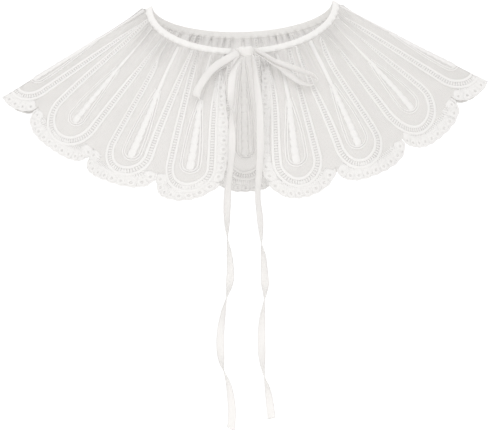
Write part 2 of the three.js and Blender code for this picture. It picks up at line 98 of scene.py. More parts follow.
def new_material(name: str) -> tuple[bpy.types.Material, bpy.types.NodeTree]:
    """Makes an empty material.

    Args:
        name: Its name.

    Returns:
        The material and its node tree, without nodes.
    """
    material = bpy.data.materials.new(name)
    material.use_nodes = True
    material.node_tree.nodes.clear()
    return material, material.node_tree


def yarn_places(tree: bpy.types.NodeTree, pitch_mm: float, across: float = 1.0,
                along: float = 1.0) -> bpy.types.NodeSocket:
    """Adds the places on the flat pattern, counted in yarns.

    Args:
        tree: The node tree that takes them.
        pitch_mm: The distance from yarn to yarn.
        across: How much of that count is used across the piece.
        along: How much of it is used along the piece.

    Returns:
        The socket that gives the places.
    """
    turns = 1 / pitch_mm / MM
    flat = add_node(tree, "ShaderNodeUVMap")
    return add_node(tree, "ShaderNodeMapping", {"Scale": (turns * across, turns * along, 1.0)},
                    {"Vector": flat.outputs[0]}).outputs[0]


def add_cloth(tree: bpy.types.NodeTree, shades: tuple[str, str], pattern: bpy.types.NodeSocket,
              height: bpy.types.NodeSocket, relief: tuple[float, float],
              settings: dict) -> tuple[bpy.types.NodeSocket, bpy.types.NodeSocket]:
    """Adds the finely ridged, two-toned surface that every cloth has. Where the pattern is the ridges' own
    height, the darker colour is painted shade in the grooves; elsewhere it is an uneven tint.

    Args:
        tree: The node tree that takes it.
        shades: The colours where the pattern is zero and where it is one.
        pattern: The socket that mixes them.
        height: The socket of the ridges' height.
        relief: The ridges' strength, and their height in metres.
        settings: The surface's own values by input name.

    Returns:
        The sockets of the surface and of its colour.
    """
    colour = add_node(tree, "ShaderNodeMix",
                      {"data_type": "RGBA", 6: linear(shades[0]), 7: linear(shades[1])}, {0: pattern})
    bump = add_node(tree, "ShaderNodeBump", {"Strength": relief[0], "Distance": relief[1]},
                    {"Height": height})
    surface = add_node(tree, "ShaderNodeBsdfPrincipled", settings,
                       {"Base Color": colour.outputs[2], "Normal": bump.outputs[0]})
    return surface.outputs[0], colour.outputs[2]


def add_object(name: str, data: bpy.types.ID) -> bpy.types.Object:
    """Puts a mesh, a light or a camera into the scene.

    Args:
        name: The new object's name.
        data: The mesh, light or camera.

    Returns:
        The new object.
    """
    made = bpy.data.objects.new(name, data)
    bpy.context.scene.collection.objects.link(made)
    return made

class Finish(Enum):
    """The collar's kinds of finish."""

    NET = "net"
    THREAD = "thread"
    BINDING = "binding"
    RIBBON = "ribbon"


@dataclass(frozen=True)
class SheerCottonNet:
    """Cotton net, woven of fine twisted yarn, so that the petals look like soft, pale mist."""

    shade: str = "#F2F1F0"
    hollow_shade: str = "#EDECEB"
    mesh_pitch_mm: float = 1.1
    cover: float = 0.74
    mesh_contrast: float = 0.08
    glow: float = 0.45
    roughness: float = 0.9

    def build(self) -> bpy.types.Material:
        """Makes the net's material: part of the light goes through, the rest scatters softly.

        Returns:
            The material.
        """
        material, tree = new_material("cotton_net_woven")
        # A real net has about twice as many meshes; this pitch is the finest that still shows.
        places = yarn_places(tree, self.mesh_pitch_mm)
        cells = add_node(tree, "ShaderNodeTexVoronoi",
                         {"feature": "DISTANCE_TO_EDGE", "Scale": 1.0, "Randomness": 0.35},
                         {"Vector": places})
        yarn, hole = self.cover + self.mesh_contrast, self.cover - self.mesh_contrast
        cover = add_node(tree, "ShaderNodeMapRange",
                         {"From Min": 0.05, "From Max": 0.4, "To Min": yarn, "To Max": hole},
                         {"Value": cells.outputs["Distance"]})
        # Yarn takes the light unevenly from place to place, a few parts in a hundred.
        cloud = add_node(tree, "ShaderNodeTexNoise", {"Scale": 0.09, "Detail": 3.0}, {"Vector": places})
        cloth, colour = add_cloth(
            tree, (self.shade, self.hollow_shade), cloud.outputs[0], cover.outputs[0], (0.25, 0.0002),
            {"Roughness": self.roughness, "Sheen Weight": 0.2, "Sheen Roughness": 0.4, "IOR": COTTON_IOR})
        glow = add_node(tree, "ShaderNodeBsdfTranslucent", {}, {"Color": colour})
        body = add_node(tree, "ShaderNodeMixShader", {0: self.glow}, {1: cloth, 2: glow.outputs[0]})
        clear = add_node(tree, "ShaderNodeBsdfTransparent")
        mixed = add_node(tree, "ShaderNodeMixShader", {},
                         {0: cover.outputs[0], 1: clear.outputs[0], 2: body.outputs[0]})
        add_node(tree, "ShaderNodeOutputMaterial", {}, {"Surface": mixed.outputs[0]})
        return material


class Lay(Enum):
    """How the threads of a stitched or corded piece run: along it, or twisted round it."""

    ALONG = (0.0, 1.0)
    TWISTED = (0.7, 0.7)


@dataclass(frozen=True)
class CottonThread:
    """Mercerised cotton thread, laid side by side in satin stitch or twisted into a cord.

    It is denser and a little glossier than the net, so the embroidery stands out from it, lighter.
    """

    name: str = "cotton_thread_satin_stitched"
    lay: Lay = Lay.ALONG
    shade: str = "#EFEEED"
    # Painted shade: the grooves between the threads' ridges are painted in this darker colour.
    hollow_shade: str = "#E4E3E2"
    thread_mm: float = 0.35
    roughness: float = 0.6

    def build(self) -> bpy.types.Material:
        """Makes the thread's material, with its fine parallel ridges and painted shade in the grooves between
        them.

        Returns:
            The material.
        """
        material, tree = new_material(self.name)
        along, across = self.lay.value
        ridges = add_node(tree, "ShaderNodeTexWave",
                          {"bands_direction": "DIAGONAL" if self.lay is Lay.TWISTED else "X",
                           "Scale": 0.3, "Distortion": 1.2, "Detail": 1.0},
                          {"Vector": yarn_places(tree, self.thread_mm, across, along)})
        ridge = ridges.outputs["Fac"]
        # Painted shade: the ridges' grooves get hollow_shade and their tops the lighter shade, following the
        # same pattern as the ridges' height.
        thread, _ = add_cloth(
            tree, (self.hollow_shade, self.shade), ridge, ridge, (0.35, 0.00012),
            {"Roughness": self.roughness, "Sheen Weight": 0.35, "Sheen Roughness": 0.35, "IOR": COTTON_IOR})
        add_node(tree, "ShaderNodeOutputMaterial", {}, {"Surface": thread})
        return material


@dataclass(frozen=True)
class BindingBatiste:
    """Plain-woven cotton batiste, folded and pressed, so that it looks dense, flat and matt."""

    shade: str = "#EEEDEC"
    hollow_shade: str = "#E6E5E3"
    yarn_mm: float = 0.5
    roughness: float = 0.85

    def build(self) -> bpy.types.Material:
        """Makes the binding's material, with the over and under of its weave.

        Returns:
            The material.
        """
        material, tree = new_material("cotton_batiste_woven")
        # Batiste has four yarns to the millimetre; two are drawn, which is what a close view shows.
        places = yarn_places(tree, self.yarn_mm)
        weave = add_node(tree, "ShaderNodeTexChecker", {"Scale": 1.0}, {"Vector": places})
        noise = add_node(tree, "ShaderNodeTexNoise", {"Scale": 0.25, "Detail": 4.0}, {"Vector": places})
        height = add_node(tree, "ShaderNodeMath", {"operation": "MULTIPLY_ADD", 1: 0.4},
                          {0: weave.outputs["Fac"], 2: noise.outputs[0]})
        cloth, _ = add_cloth(tree, (self.shade, self.hollow_shade), noise.outputs[0], height.outputs[0],
                             (0.3, 0.0002),
                             {"Roughness": self.roughness, "Sheen Weight": 0.25, "IOR": COTTON_IOR})
        add_node(tree, "ShaderNodeOutputMaterial", {}, {"Surface": cloth})
        return material


@dataclass(frozen=True)
class SatinRibbonFinish:
    """Polyester satin, woven with long floating yarns, which give it a smooth, bright, silky sheen."""

    shade: str = "#F8F7F6"
    hollow_shade: str = "#F2F1F0"
    yarn_mm: float = 0.4
    float_share: float = 0.02
    cover: float = 0.94
    glow: float = 0.35
    roughness: float = 0.4

    def build(self) -> bpy.types.Material:
        """Makes the ribbon's material, glossy along its yarns and slightly see-through.

        Returns:
            The material.
        """
        material, tree = new_material("polyester_satin_woven")
        # Satin has about ten yarns to the millimetre; they are drawn four times as coarse, to show.
        yarns = add_node(tree, "ShaderNodeTexNoise", {"Scale": 1.0, "Detail": 2.0},
                         {"Vector": yarn_places(tree, self.yarn_mm, 1.0, self.float_share)})
        satin, colour = add_cloth(
            tree, (self.shade, self.hollow_shade), yarns.outputs[0], yarns.outputs[0], (0.2, 0.0001),
            {"Roughness": self.roughness, "Anisotropic": 0.4, "Sheen Weight": 0.15, "IOR": POLYESTER_IOR})
        glow = add_node(tree, "ShaderNodeBsdfTranslucent", {}, {"Color": colour})
        body = add_node(tree, "ShaderNodeMixShader", {0: self.glow}, {1: satin, 2: glow.outputs[0]})
        clear = add_node(tree, "ShaderNodeBsdfTransparent")
        thin = add_node(tree, "ShaderNodeMixShader", {0: self.cover},
                        {1: clear.outputs[0], 2: body.outputs[0]})
        add_node(tree, "ShaderNodeOutputMaterial", {}, {"Surface": thin.outputs[0]})
        return material


@dataclass(frozen=True)
class StudioPaper:
    """Matt white background paper, which keeps the floor plain and without shine."""

    shade: str = "#F7F6F4"

    def build(self) -> bpy.types.Material:
        """Makes the paper's material.

        Returns:
            The material.
        """
        material, tree = new_material("background_paper_matt")
        fibres = add_node(tree, "ShaderNodeTexNoise", {"Scale": 600.0, "Detail": 2.0})
        bump = add_node(tree, "ShaderNodeBump", {"Strength": 0.03, "Distance": 0.0002},
                        {"Height": fibres.outputs[0]})
        paper = add_node(tree, "ShaderNodeBsdfPrincipled",
                         {"Base Color": linear(self.shade), "Roughness": 1.0},
                         {"Normal": bump.outputs[0]})
        add_node(tree, "ShaderNodeOutputMaterial", {}, {"Surface": paper.outputs[0]})
        return material


@dataclass(frozen=True)
class Wardrobe:
    """The finishes that the collar's pieces share."""

    net: bpy.types.Material
    stitches: bpy.types.Material
    cords: bpy.types.Material
    batiste: bpy.types.Material
    satin: bpy.types.Material

    @classmethod
    def filled(cls) -> "Wardrobe":
        """Makes each finish once."""
        return cls(SheerCottonNet().build(), CottonThread().build(),
                   CottonThread("cotton_cord_twisted", Lay.TWISTED).build(),
                   BindingBatiste().build(), SatinRibbonFinish().build())


@dataclass
class PieceMesh:
    """Gathers the quads of one piece of the collar and makes it an object.

    Attributes:
        name: The piece's name.
        faces: The faces of the cloth that it shows on: 1 for the outer one, -1 for the inner one.
    """

    name: str
    faces: tuple[int, ...] = (1,)
    points: list[np.ndarray] = field(default_factory=list)
    quads: list[np.ndarray] = field(default_factory=list)
    marks: list[np.ndarray] = field(default_factory=list)
    count: int = 0

    def add(self, points: Points, quads: np.ndarray, marks: tuple[np.ndarray, np.ndarray]) -> None:
        """Adds one closed shape, turned so that its faces look outward.

        Args:
            points: Places in metres.
            quads: Four point numbers a row, all turned the same way.
            marks: The points' places across and along the flat cloth, in millimetres.
        """
        flat = np.stack([np.broadcast_to(place, points.shape[:-1]) for place in marks], -1)
        points = points.reshape(-1, 3)
        a, b, c, d = (points[quads[:, k]] for k in range(4))
        volume = sum(np.einsum("ij,ij->i", a, np.cross(*pair)).sum() for pair in ((b, c), (c, d)))
        self.points.append(points)
        self.quads.append((quads if volume >= 0 else quads[:, ::-1]) + self.count)
        self.marks.append(flat.reshape(-1, 2) * MM)
        self.count += len(points)

    def build(self, material: bpy.types.Material, finish: Finish,
              nodes: tuple[str, ...] = ()) -> bpy.types.Object:
        """Makes the object, gives it its finish, hangs it on the collar's one body and hides the solids that
        it stands for.

        Args:
            material: The finish that it wears.
            finish: Not used.
            nodes: The solids that it stands for.

        Returns:
            The new object, riding on the collar's one body.
        """
        points = np.concatenate(self.points).astype(np.float32)
        quads = np.concatenate(self.quads).astype(np.int32)
        marks = np.concatenate(self.marks).astype(np.float32)
        mesh = bpy.data.meshes.new(self.name)
        mesh.vertices.add(len(points))
        mesh.vertices.foreach_set("co", points.ravel())
        mesh.loops.add(quads.size)
        mesh.loops.foreach_set("vertex_index", quads.ravel())
        mesh.polygons.add(len(quads))
        mesh.polygons.foreach_set("loop_start", np.arange(0, quads.size, 4, dtype=np.int32))
        mesh.polygons.foreach_set("use_smooth", np.ones(len(quads), dtype=bool))
        cloth_map = mesh.uv_layers.new(name="flat_pattern")
        cloth_map.data.foreach_set("uv", marks[quads.ravel()].ravel())
        mesh.update(calc_edges=True)
        mesh.materials.append(material)
        piece = add_object(self.name, mesh)
        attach(piece, "root")
        if nodes:
            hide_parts(*nodes)
        LOG.info("%s: %d quads", self.name, len(quads))
        return piece


Heights = tuple[float, float, float, float]
HEIGHTS = (0.0, 0.4, 0.7, 1.0)


def through_heights(values: Heights, t: np.ndarray) -> np.ndarray:
    """Reads the smooth curve through values that are given at a petal's four heights.

    Args:
        values: The values at the neck, at two heights between, and at the line of the tips.
        t: Where to read them, as shares of the petal's length.

    Returns:
        One value a share.
    """
    total = np.zeros_like(t, dtype=float)
    for height, value in zip(HEIGHTS, values):
        term = np.full_like(total, value)
        for other in HEIGHTS:
            if other != height:
                term = term * (t - other) / (height - other)
        total = total + term
    return total


@dataclass(frozen=True)
class PetalCut:
    """One petal's cut and the places of its embroidery, in millimetres.

    Attributes:
        hem_width: Its width at the hem.
        lean: The lean of its tip along the hem, as a share of that width.
        border: Half the width between the border's middle lines, at the four heights.
        aside: How far the border stands aside of the petal's middle line.
        loop_aside: How far the teardrop stands aside of it.
        loop_half: Half the teardrop's width at its round end.
        edging: The width left for the edging below the border.
        loop_to_tip: The distance from the teardrop's end to the petal's tip.
        rounding: How full each half of the scallop is, as the power of its curve.
        tip: How far down the scallop's lowest place lies, as a share of the petal's length.
    """

    hem_width: float
    lean: float
    border: Heights
    aside: Heights
    loop_aside: Heights
    loop_half: float
    edging: float
    loop_to_tip: float
    rounding: tuple[float, float] = (2.3, 2.3)
    tip: float = 1.0


LEVEL: Heights = (0, 0, 0, 0)
LEFT_PETALS = (
    PetalCut(56, 0.12, (13.4, 13, 15.5, 18), (0, 1.7, 0, -4.5), (0, 1.2, -1.5, -6), 7, 6, 22.5,
             (1.7, 2.5), 1.015),
    PetalCut(71, 0.08, (13.4, 14.5, 16.9, 20), (0, -2.5, -2.9, -6), (0, -3, -5.8, -9.5), 7.4, 6.5, 21.5,
             (2.3, 3.2), 1.018),
    PetalCut(81, -0.14, (13.4, 19.5, 22.5, 24), (0, 0, 2, 3), LEVEL, 8.2, 7, 27,
             (2.3, 2.8), 1.005),
    PetalCut(66, 0, (12.4, 15.7, 17.9, 19.9), LEVEL, LEVEL, 8.2, 9, 30,
             (1.8, 2.3)),
)
RIGHT_PETALS = (
    PetalCut(72, 0, (12.4, 16.9, 19.9, 22.9), LEVEL, LEVEL, 8.2, 9, 30,
             (2.3, 1.9)),
    PetalCut(75, 0.2, (13.4, 18, 23.5, 26), (0, 3, 2.5, 2), (0, 1.3, 0.3, 0), 10.5, 12, 31.6,
             (2.8, 1.7)),
    PetalCut(74.5, 0.08, (13.4, 14.2, 17.8, 21), (0, 5.3, 4, 6), (0, 2.2, 3.6, 6), 9, 9, 26.6,
             (2.4, 2)),
    PetalCut(61.5, 0.07, (13.4, 11.8, 15.1, 18), (0, -1, 0, 1), (0, -1.5, 0.5, 1.5), 7.6, 9, 27,
             (1.8, 2.3)),
)


@dataclass
class DrapedCloth:
    """The net as it hangs on the shoulders: ruled lines from the neck curve to the hem curve."""

    neck_width: float = 162.0
    neck_front_depth: float = 58.0
    neck_back_depth: float = 55.0
    neck_front_drop: float = 46.0
    neck_back_drop: float = 19.5
    neck_gap: float = 21.0
    collar_width: float = 430.0
    hem_front_depth: float = 90.0
    hem_back_depth: float = 84.0
    shoulder_drop: float = 75.0
    hem_front_drop: float = 177.0
    hem_back_drop: float = 165.0
    hem_plan_power: float = 1.6
    hem_drop_power: float = 1.54
    chest_swell: float = 5.0
    flute_depth: float = 5.0
    notch_share: float = 0.136
    gather_depth: float = 2.6
    gather_fade: float = 18.0
    gather_fade_change: float = 11.0
    gather_top: float = 3.5
    gather_rise: float = 4.0
    gather_full: float = 8.0
    gather_second: float = 0.35
    gather_second_shift: float = 0.6
    gather_drift: tuple[tuple[float, float], ...] = ((1.3, 2.9), (0.8, 7.3))
    gather_length: float = 155.0
    gathers_a_petal: int = 4
    ripple_depth: float = 1.1
    ripple_share: float = 0.6
    ripple_waves: tuple[tuple[float, ...], ...] = ((1.0, 4.1, 3.0, 0.0), (0.7, 9.7, -5.0, 1.0))
    shoulder_left: float = 3.5
    shoulder_right: float = 11.5
    curve_steps: int = 720
    left: tuple[PetalCut, ...] = LEFT_PETALS
    right: tuple[PetalCut, ...] = RIGHT_PETALS
    left_edge_out: Heights = (0, 1.8, 6.5, -7)
    right_edge_out: Heights = (0, 3.3, 8.6, -9)
    edge_out_power: int = 4
    back_border: Heights = (11.5, 14.7, 16.9, 19)
    back_loop_half: float = 8.2
    back_edging: float = 10.8
    back_loop_to_tip: float = 31.0
    mapped_petal: int = 2

    def __post_init__(self) -> None:
        """Works out the two curves, their running lengths and where each petal starts."""
        angle = np.pi / 2 - 2 * np.pi * np.arange(self.curve_steps + 1) / self.curve_steps
        sine, cosine = np.sin(angle), np.cos(angle)
        reach, front = np.abs(sine), sine > 0
        neck_depth = np.where(front, self.neck_front_depth, self.neck_back_depth)
        neck_drop = np.where(front, self.neck_front_drop, self.neck_back_drop)
        self.neck = np.stack([-self.neck_width / 2 * cosine, -neck_depth * sine, -neck_drop * reach], 1)
        hem_depth = np.where(front, -self.hem_front_depth, self.hem_back_depth)
        hem_drop = np.where(front, self.hem_front_drop, self.hem_back_drop) - self.shoulder_drop
        self.hem = np.stack([-self.collar_width / 2 * cosine, hem_depth * reach ** self.hem_plan_power,
                             -self.shoulder_drop - hem_drop * reach ** self.hem_drop_power], 1)
        self.neck_run = self.running_length(self.neck)
        self.hem_run = self.running_length(self.hem)
        quarter = self.curve_steps // 4
        self.neck_fold, hem_fold = self.neck_run[quarter], self.hem_run[quarter]
        on_folds = (self.left[-1].hem_width + self.right[0].hem_width) / 2
        backs = PETALS - len(self.left) - len(self.right)
        back = PetalCut((self.hem_run[-1] - 2 * hem_fold - on_folds) / backs, 0, self.back_border,
                        LEVEL, LEVEL, self.back_loop_half, self.back_edging, self.back_loop_to_tip)
        self.cuts = self.left + (back,) * backs + self.right
        self.widths = np.array([cut.hem_width for cut in self.cuts])
        self.leans = np.array([cut.lean for cut in self.cuts])
        self.rounding = np.array([cut.rounding for cut in self.cuts])
        self.tips = np.array([cut.tip for cut in self.cuts])
        left_half = self.widths[:len(self.left)].sum() - self.left[-1].hem_width / 2
        self.starts = hem_fold - left_half + np.concatenate([[0], np.cumsum(self.widths)])
        self.mapped_length = self.petal_length(self.mapped_petal)

    @staticmethod
    def running_length(curve: Points) -> np.ndarray:
        """Gives the length along a curve at each of its points."""
        return np.concatenate([[0], np.cumsum(np.linalg.norm(np.diff(curve, axis=0), axis=1))])

    def neck_place(self, along: np.ndarray) -> np.ndarray:
        """Gives the length along the neck edge at which a place of the cloth starts.

        Args:
            along: Places counted in petals from the left front edge.

        Returns:
            Lengths in millimetres.
        """
        front = (self.neck_fold - self.neck_gap / 2) / self.shoulder_left
        back = (self.neck_run[-1] - 2 * self.neck_fold) / (self.shoulder_right - self.shoulder_left)
        return np.where(
            along < self.shoulder_left, self.neck_gap / 2 + along * front,
            np.where(along <= self.shoulder_right, self.neck_fold + (along - self.shoulder_left) * back,
                     self.neck_run[-1] - self.neck_gap / 2 - (PETALS - along) * front))

    def edge_curve(self, petal: np.ndarray, across: np.ndarray, t: np.ndarray) -> np.ndarray:
        """Gives how far places move along the hem for the outward curve of the two front edges.

        Args:
            petal: The petals' numbers.
            across: Shares of the petals' widths.
            t: Shares of the way from the neck edge to the line of the tips.

        Returns:
            Millimetres along the hem.
        """
        height = np.maximum(t, 0.01)
        left = -through_heights(self.left_edge_out, height) / height * (1 - across) ** self.edge_out_power
        right = through_heights(self.right_edge_out, height) / height * across ** self.edge_out_power
        return np.where(petal == 0, left, np.where(petal == PETALS - 1, right, 0.0))

    def ruled(self, along: np.ndarray, t: np.ndarray) -> Points:
        """Finds points of the flat-ruled cloth.

        Args:
            along: Places counted in petals from the left front edge.
            t: Shares of the way from the neck edge to the line of the tips.

        Returns:
            Points in millimetres.
        """
        petal = np.clip(np.floor(along).astype(int), 0, PETALS - 1)
        across = along - petal
        lean = 4 * self.leans[petal] * t * t * across * (1 - across)
        neck_at = self.neck_place(along)
        hem_at = self.starts[petal] + (across + lean) * self.widths[petal] + self.edge_curve(petal, across, t)
        neck = np.stack([np.interp(neck_at, self.neck_run, self.neck[:, k]) for k in range(3)], -1)
        hem = np.stack([np.interp(hem_at, self.hem_run, self.hem[:, k]) for k in range(3)], -1)
        return neck + (hem - neck) * t[..., None]

    def outward(self, along: np.ndarray, t: np.ndarray, step: float = 0.02) -> Points:
        """Finds the direction out of the body at places of the cloth.

        Args:
            along: Places counted in petals from the left front edge.
            t: Shares of the way from the neck edge to the line of the tips.
            step: How far apart the places are that are compared.

        Returns:
            Unit directions.
        """
        after, before = np.minimum(along + step, PETALS), np.maximum(along - step, 0)
        normal = np.cross(self.ruled(after, t) - self.ruled(before, t),
                          self.ruled(along, t + step) - self.ruled(along, t))
        return normal / np.linalg.norm(normal, axis=-1, keepdims=True)

    def gathers(self, along: np.ndarray, down: np.ndarray) -> np.ndarray:
        """Gives the small folds that the binding draws up in the net, fading out below the neck.

        Args:
            along: Places counted in petals from the left front edge.
            down: Distances below the neck edge, in millimetres.

        Returns:
            Distances out of the cloth, in millimetres.
        """
        fade = self.gather_fade + self.gather_fade_change * np.cos(2 * np.pi * along / PETALS)
        strength = (np.clip((down - self.gather_top) / self.gather_rise, 0, 1)
                    * np.exp(-np.maximum(down - self.gather_full, 0) / fade))
        phase = sum((size * np.sin(rate * along) for size, rate in self.gather_drift),
                    2 * np.pi * self.gathers_a_petal * along)
        fold = np.cos(phase) + self.gather_second * np.cos(2 * phase + self.gather_second_shift)
        return self.gather_depth * strength * fold

    def ripples(self, along: np.ndarray, t: np.ndarray) -> np.ndarray:
        """Gives the slow unevenness of cloth that hangs by its own weight.

        Args:
            along: Places counted in petals from the left front edge.
            t: Shares of the way from the neck edge to the line of the tips.

        Returns:
            Distances out of the cloth, in millimetres.
        """
        wave = sum(size * np.sin(sideways * along + downward * t + shift)
                   for size, sideways, downward, shift in self.ripple_waves)
        return self.ripple_depth * np.clip(t, 0, 1) * wave * self.ripple_share

    def place(self, along: np.ndarray, t: np.ndarray, lift: np.ndarray) -> Points:
        """Finds points on, over or under the draped cloth.

        Args:
            along: Places counted in petals from the left front edge.
            t: Shares of the way from the neck edge to the line of the tips.
            lift: Distances out of the cloth, in millimetres.

        Returns:
            Points in metres.
        """
        along, t, lift = np.broadcast_arrays(*(np.asarray(v, float) for v in (along, t, lift)))
        flute = -self.flute_depth * t * (1 + np.cos(2 * np.pi * along)) / 2
        chest = (self.ruled(along, np.zeros_like(t))[..., 1] / self.neck_front_depth) ** 2
        swell = self.chest_swell * np.sin(np.pi * np.minimum(t, 1)) * chest
        small = self.gathers(along, t * self.gather_length) + self.ripples(along, t)
        out = (flute + swell + small + lift)[..., None]
        return (self.ruled(along, t) + self.outward(along, t) * out) * MM

    def petal_length(self, petal: int) -> float:
        """Measures a petal's middle line from the neck edge to its tip, in millimetres."""
        ends = self.ruled(np.full(2, petal + 0.5), np.array([0.0, 1.0]))
        return float(np.linalg.norm(ends[1] - ends[0]))

    def petal_width(self, petal: int, t: np.ndarray) -> np.ndarray:
        """Measures a petal's width at shares of its length, in millimetres."""
        at_neck = float(self.neck_place(np.array(petal + 1.0)) - self.neck_place(np.array(float(petal))))
        return at_neck + (self.widths[petal] - at_neck) * t

    def edge_share(self, petal: np.ndarray, across: np.ndarray) -> np.ndarray:
        """Gives how far down their petals the scalloped edge lies, at shares of the petals' widths."""
        power = np.where(across < 0.5, self.rounding[petal, 0], self.rounding[petal, 1])
        lobe = (1 - np.abs(2 * across - 1) ** power) ** (1 / power)
        return 1 - self.notch_share + (self.tips[petal] - 1 + self.notch_share) * lobe

    def on_petal(self, petal: int) -> Placer:
        """Makes the function that lays a petal's flat pattern on the cloth.

        Args:
            petal: The petal's number, from zero at the left front edge.

        Returns:
            A function of millimetres aside, down and out, which gives points in metres.
        """
        length = self.petal_length(petal)

        def lay(side: np.ndarray, down: np.ndarray, lift: np.ndarray) -> Points:
            """Lays flat places of this petal on the cloth."""
            t = down / length
            return self.place(petal + 0.5 + side / self.petal_width(petal, t), t, lift)

        return lay


@dataclass(frozen=True)
class Motif:
    """A small closed shape in a unit box, of which many copies are laid in a row."""

    points: np.ndarray
    quads: np.ndarray

    @classmethod
    def pad(cls, stations: int = 5, sides: int = 6, fullness: float = 0.5, end: float = 0.45) -> "Motif":
        """Makes a satin-stitched pad of round sections.

        Args:
            stations: How many sections it has.
            sides: How many points each section has.
            fullness: How blunt it is, from zero to one.
            end: The width of its two ends, as a share of its own.

        Returns:
            The pad.
        """
        share = np.linspace(-1, 1, stations)
        radii = np.maximum(1 - np.abs(share) ** (2 / (1 - fullness)), 0.0) ** fullness
        radii[[0, -1]] = end
        turn = turns_round(sides)
        points = np.stack([np.repeat(share / 2, sides), np.outer(radii / 2, np.cos(turn)).ravel(),
                           np.outer(radii / 2, np.sin(turn)).ravel()], 1)
        return cls(points, tube_quads(stations, sides))

    @classmethod
    def ring(cls, hole: float, around: int = 18, sides: int = 6) -> "Motif":
        """Makes a corded ring that fills its box.

        Args:
            hole: The width of its hole, as a share of its own.
            around: How many sections it has.
            sides: How many points each section has.

        Returns:
            The ring.
        """
        outer, turn = turns_round(around), turns_round(sides)
        radius = (1 + hole) / 4 + (1 - hole) / 4 * np.cos(turn)
        points = np.stack([np.outer(np.cos(outer), radius).ravel(), np.outer(np.sin(outer), radius).ravel(),
                           np.tile(np.sin(turn) / 2, around)], 1)
        return cls(points, band_quads(around, sides, closed=True))

    @classmethod
    def eyelet_plate(cls, hole: float, shift: float, around: int = 20, squareness: float = 5.0) -> "Motif":
        """Makes a thin, nearly square plate round a hole.

        Args:
            hole: The width of the hole, as a share of the plate's.
            shift: How far aside of the hole the plate lies, as a share of its width.
            around: How many sections it has.
            squareness: The power of its outline.

        Returns:
            The plate.
        """
        turn = turns_round(around)
        power = squareness
        reach = (np.abs(np.cos(turn)) ** power + np.abs(np.sin(turn)) ** power) ** (-1 / power) / 2
        outward = np.array([0.0, 0.33, 0.67, 1.0, 1.0, 0.67, 0.33, 0.0])
        radius = hole / 2 + outward[None, :] * (reach[:, None] - hole / 2)
        up = np.tile(np.repeat([-0.5, 0.5], 4), (around, 1))
        points = np.stack([np.cos(turn)[:, None] * radius,
                           np.sin(turn)[:, None] * radius + shift * outward[None, :], up], -1)
        return cls(points.reshape(-1, 3), band_quads(around, len(outward), closed=True))


def turns_round(count: int, shift: float = 0.0) -> np.ndarray:
    """Gives even angles round a circle, in radians, moved on by a share of one step."""
    return 2 * np.pi * (np.arange(count) + shift) / count


def flattened(wave: np.ndarray, power: float) -> np.ndarray:
    """Makes a sine or cosine squarer, the more so the lower the power is."""
    return np.sign(wave) * np.abs(wave) ** power


def band_quads(rows: int, sides: int, closed: bool = False) -> np.ndarray:
    """Numbers the quads between rings of points.

    Args:
        rows: How many rings there are.
        sides: How many points each ring has.
        closed: Whether the last ring joins the first.

    Returns:
        Four point numbers a row.
    """
    first = np.arange(rows if closed else rows - 1)[:, None] * sides
    after = (first + sides) % (rows * sides)
    here = np.arange(sides)[None, :]
    beside = (here + 1) % sides
    return np.stack([first + here, after + here, after + beside, first + beside], -1).reshape(-1, 4)


def tube_quads(rows: int, sides: int) -> np.ndarray:
    """Numbers the quads of a run of rings of points and of its two ends.

    Args:
        rows: How many rings there are.
        sides: How many points each ring has, an even number.

    Returns:
        Four point numbers a row.
    """
    fan = np.array([[0, 2 * k + 1, 2 * k + 2, 2 * k + 3] for k in range(sides // 2 - 1)])
    return np.concatenate([band_quads(rows, sides), fan, (rows - 1) * sides + fan[:, ::-1]])


def lay_motifs(mesh: PieceMesh, lay: Placer, motif: Motif, centres: np.ndarray, headings: np.ndarray,
               sizes: tuple[np.ndarray | float, ...], lift: float) -> None:
    """Lays copies of a small shape on a petal.

    Args:
        mesh: The piece that takes them.
        lay: The petal's placing function.
        motif: The shape.
        centres: Where each copy lies, aside and down, in millimetres.
        headings: The unit direction of each copy's length.
        sizes: The copies' length, width and height in millimetres, one value for all or one for each.
        lift: How far their middles lie over the cloth, in millimetres.
    """
    long, wide, high = (np.broadcast_to(size, len(centres))[:, None] for size in sizes)
    along, aside, up = (motif.points[None, :, k] * size for k, size in enumerate((long, wide, high)))
    side = centres[:, 0:1] + headings[:, 0:1] * along - headings[:, 1:2] * aside
    down = centres[:, 1:2] + headings[:, 1:2] * along + headings[:, 0:1] * aside
    count = len(motif.points)
    quads = (motif.quads[None] + np.arange(len(centres))[:, None, None] * count).reshape(-1, 4)
    for face in mesh.faces:
        mesh.add(lay(side, down, face * (up + lift)), quads, (aside, along))


@dataclass(frozen=True)
class CordSection:
    """A cord's section: half its height and its middle's height over the cloth, in millimetres.

    Attributes:
        half_height: Half its height out of the cloth.
        lift: How far its middle lies over the cloth.
        sides: The points round it, an even number.
        roundness: One for a round section, less for one with flat faces.
    """

    half_height: float
    lift: float
    sides: int = 6
    roundness: float = 1.0


def lay_cord(mesh: PieceMesh, lay: Placer, path: np.ndarray, half_width: np.ndarray | float,
             section: CordSection) -> None:
    """Lays a cord or a flat band along a path on a petal.

    Args:
        mesh: The piece that takes it.
        lay: The petal's placing function.
        path: The middle line, aside and down, in millimetres.
        half_width: Half the width in the cloth, the same all along or one value a point.
        section: The rest of its section.
    """
    across = normals(path)
    turn = turns_round(section.sides, 0.5)
    wide, high = (flattened(wave, section.roundness) for wave in (np.cos(turn), np.sin(turn)))
    reach = np.broadcast_to(half_width, len(path))[:, None] * wide[None, :]
    side = path[:, 0:1] + across[:, 0:1] * reach
    down = path[:, 1:2] + across[:, 1:2] * reach
    up = section.lift + section.half_height * high
    run = DrapedCloth.running_length(path)
    for face in mesh.faces:
        mesh.add(lay(side, down, face * up), tube_quads(len(path), section.sides), (reach + up, run[:, None]))


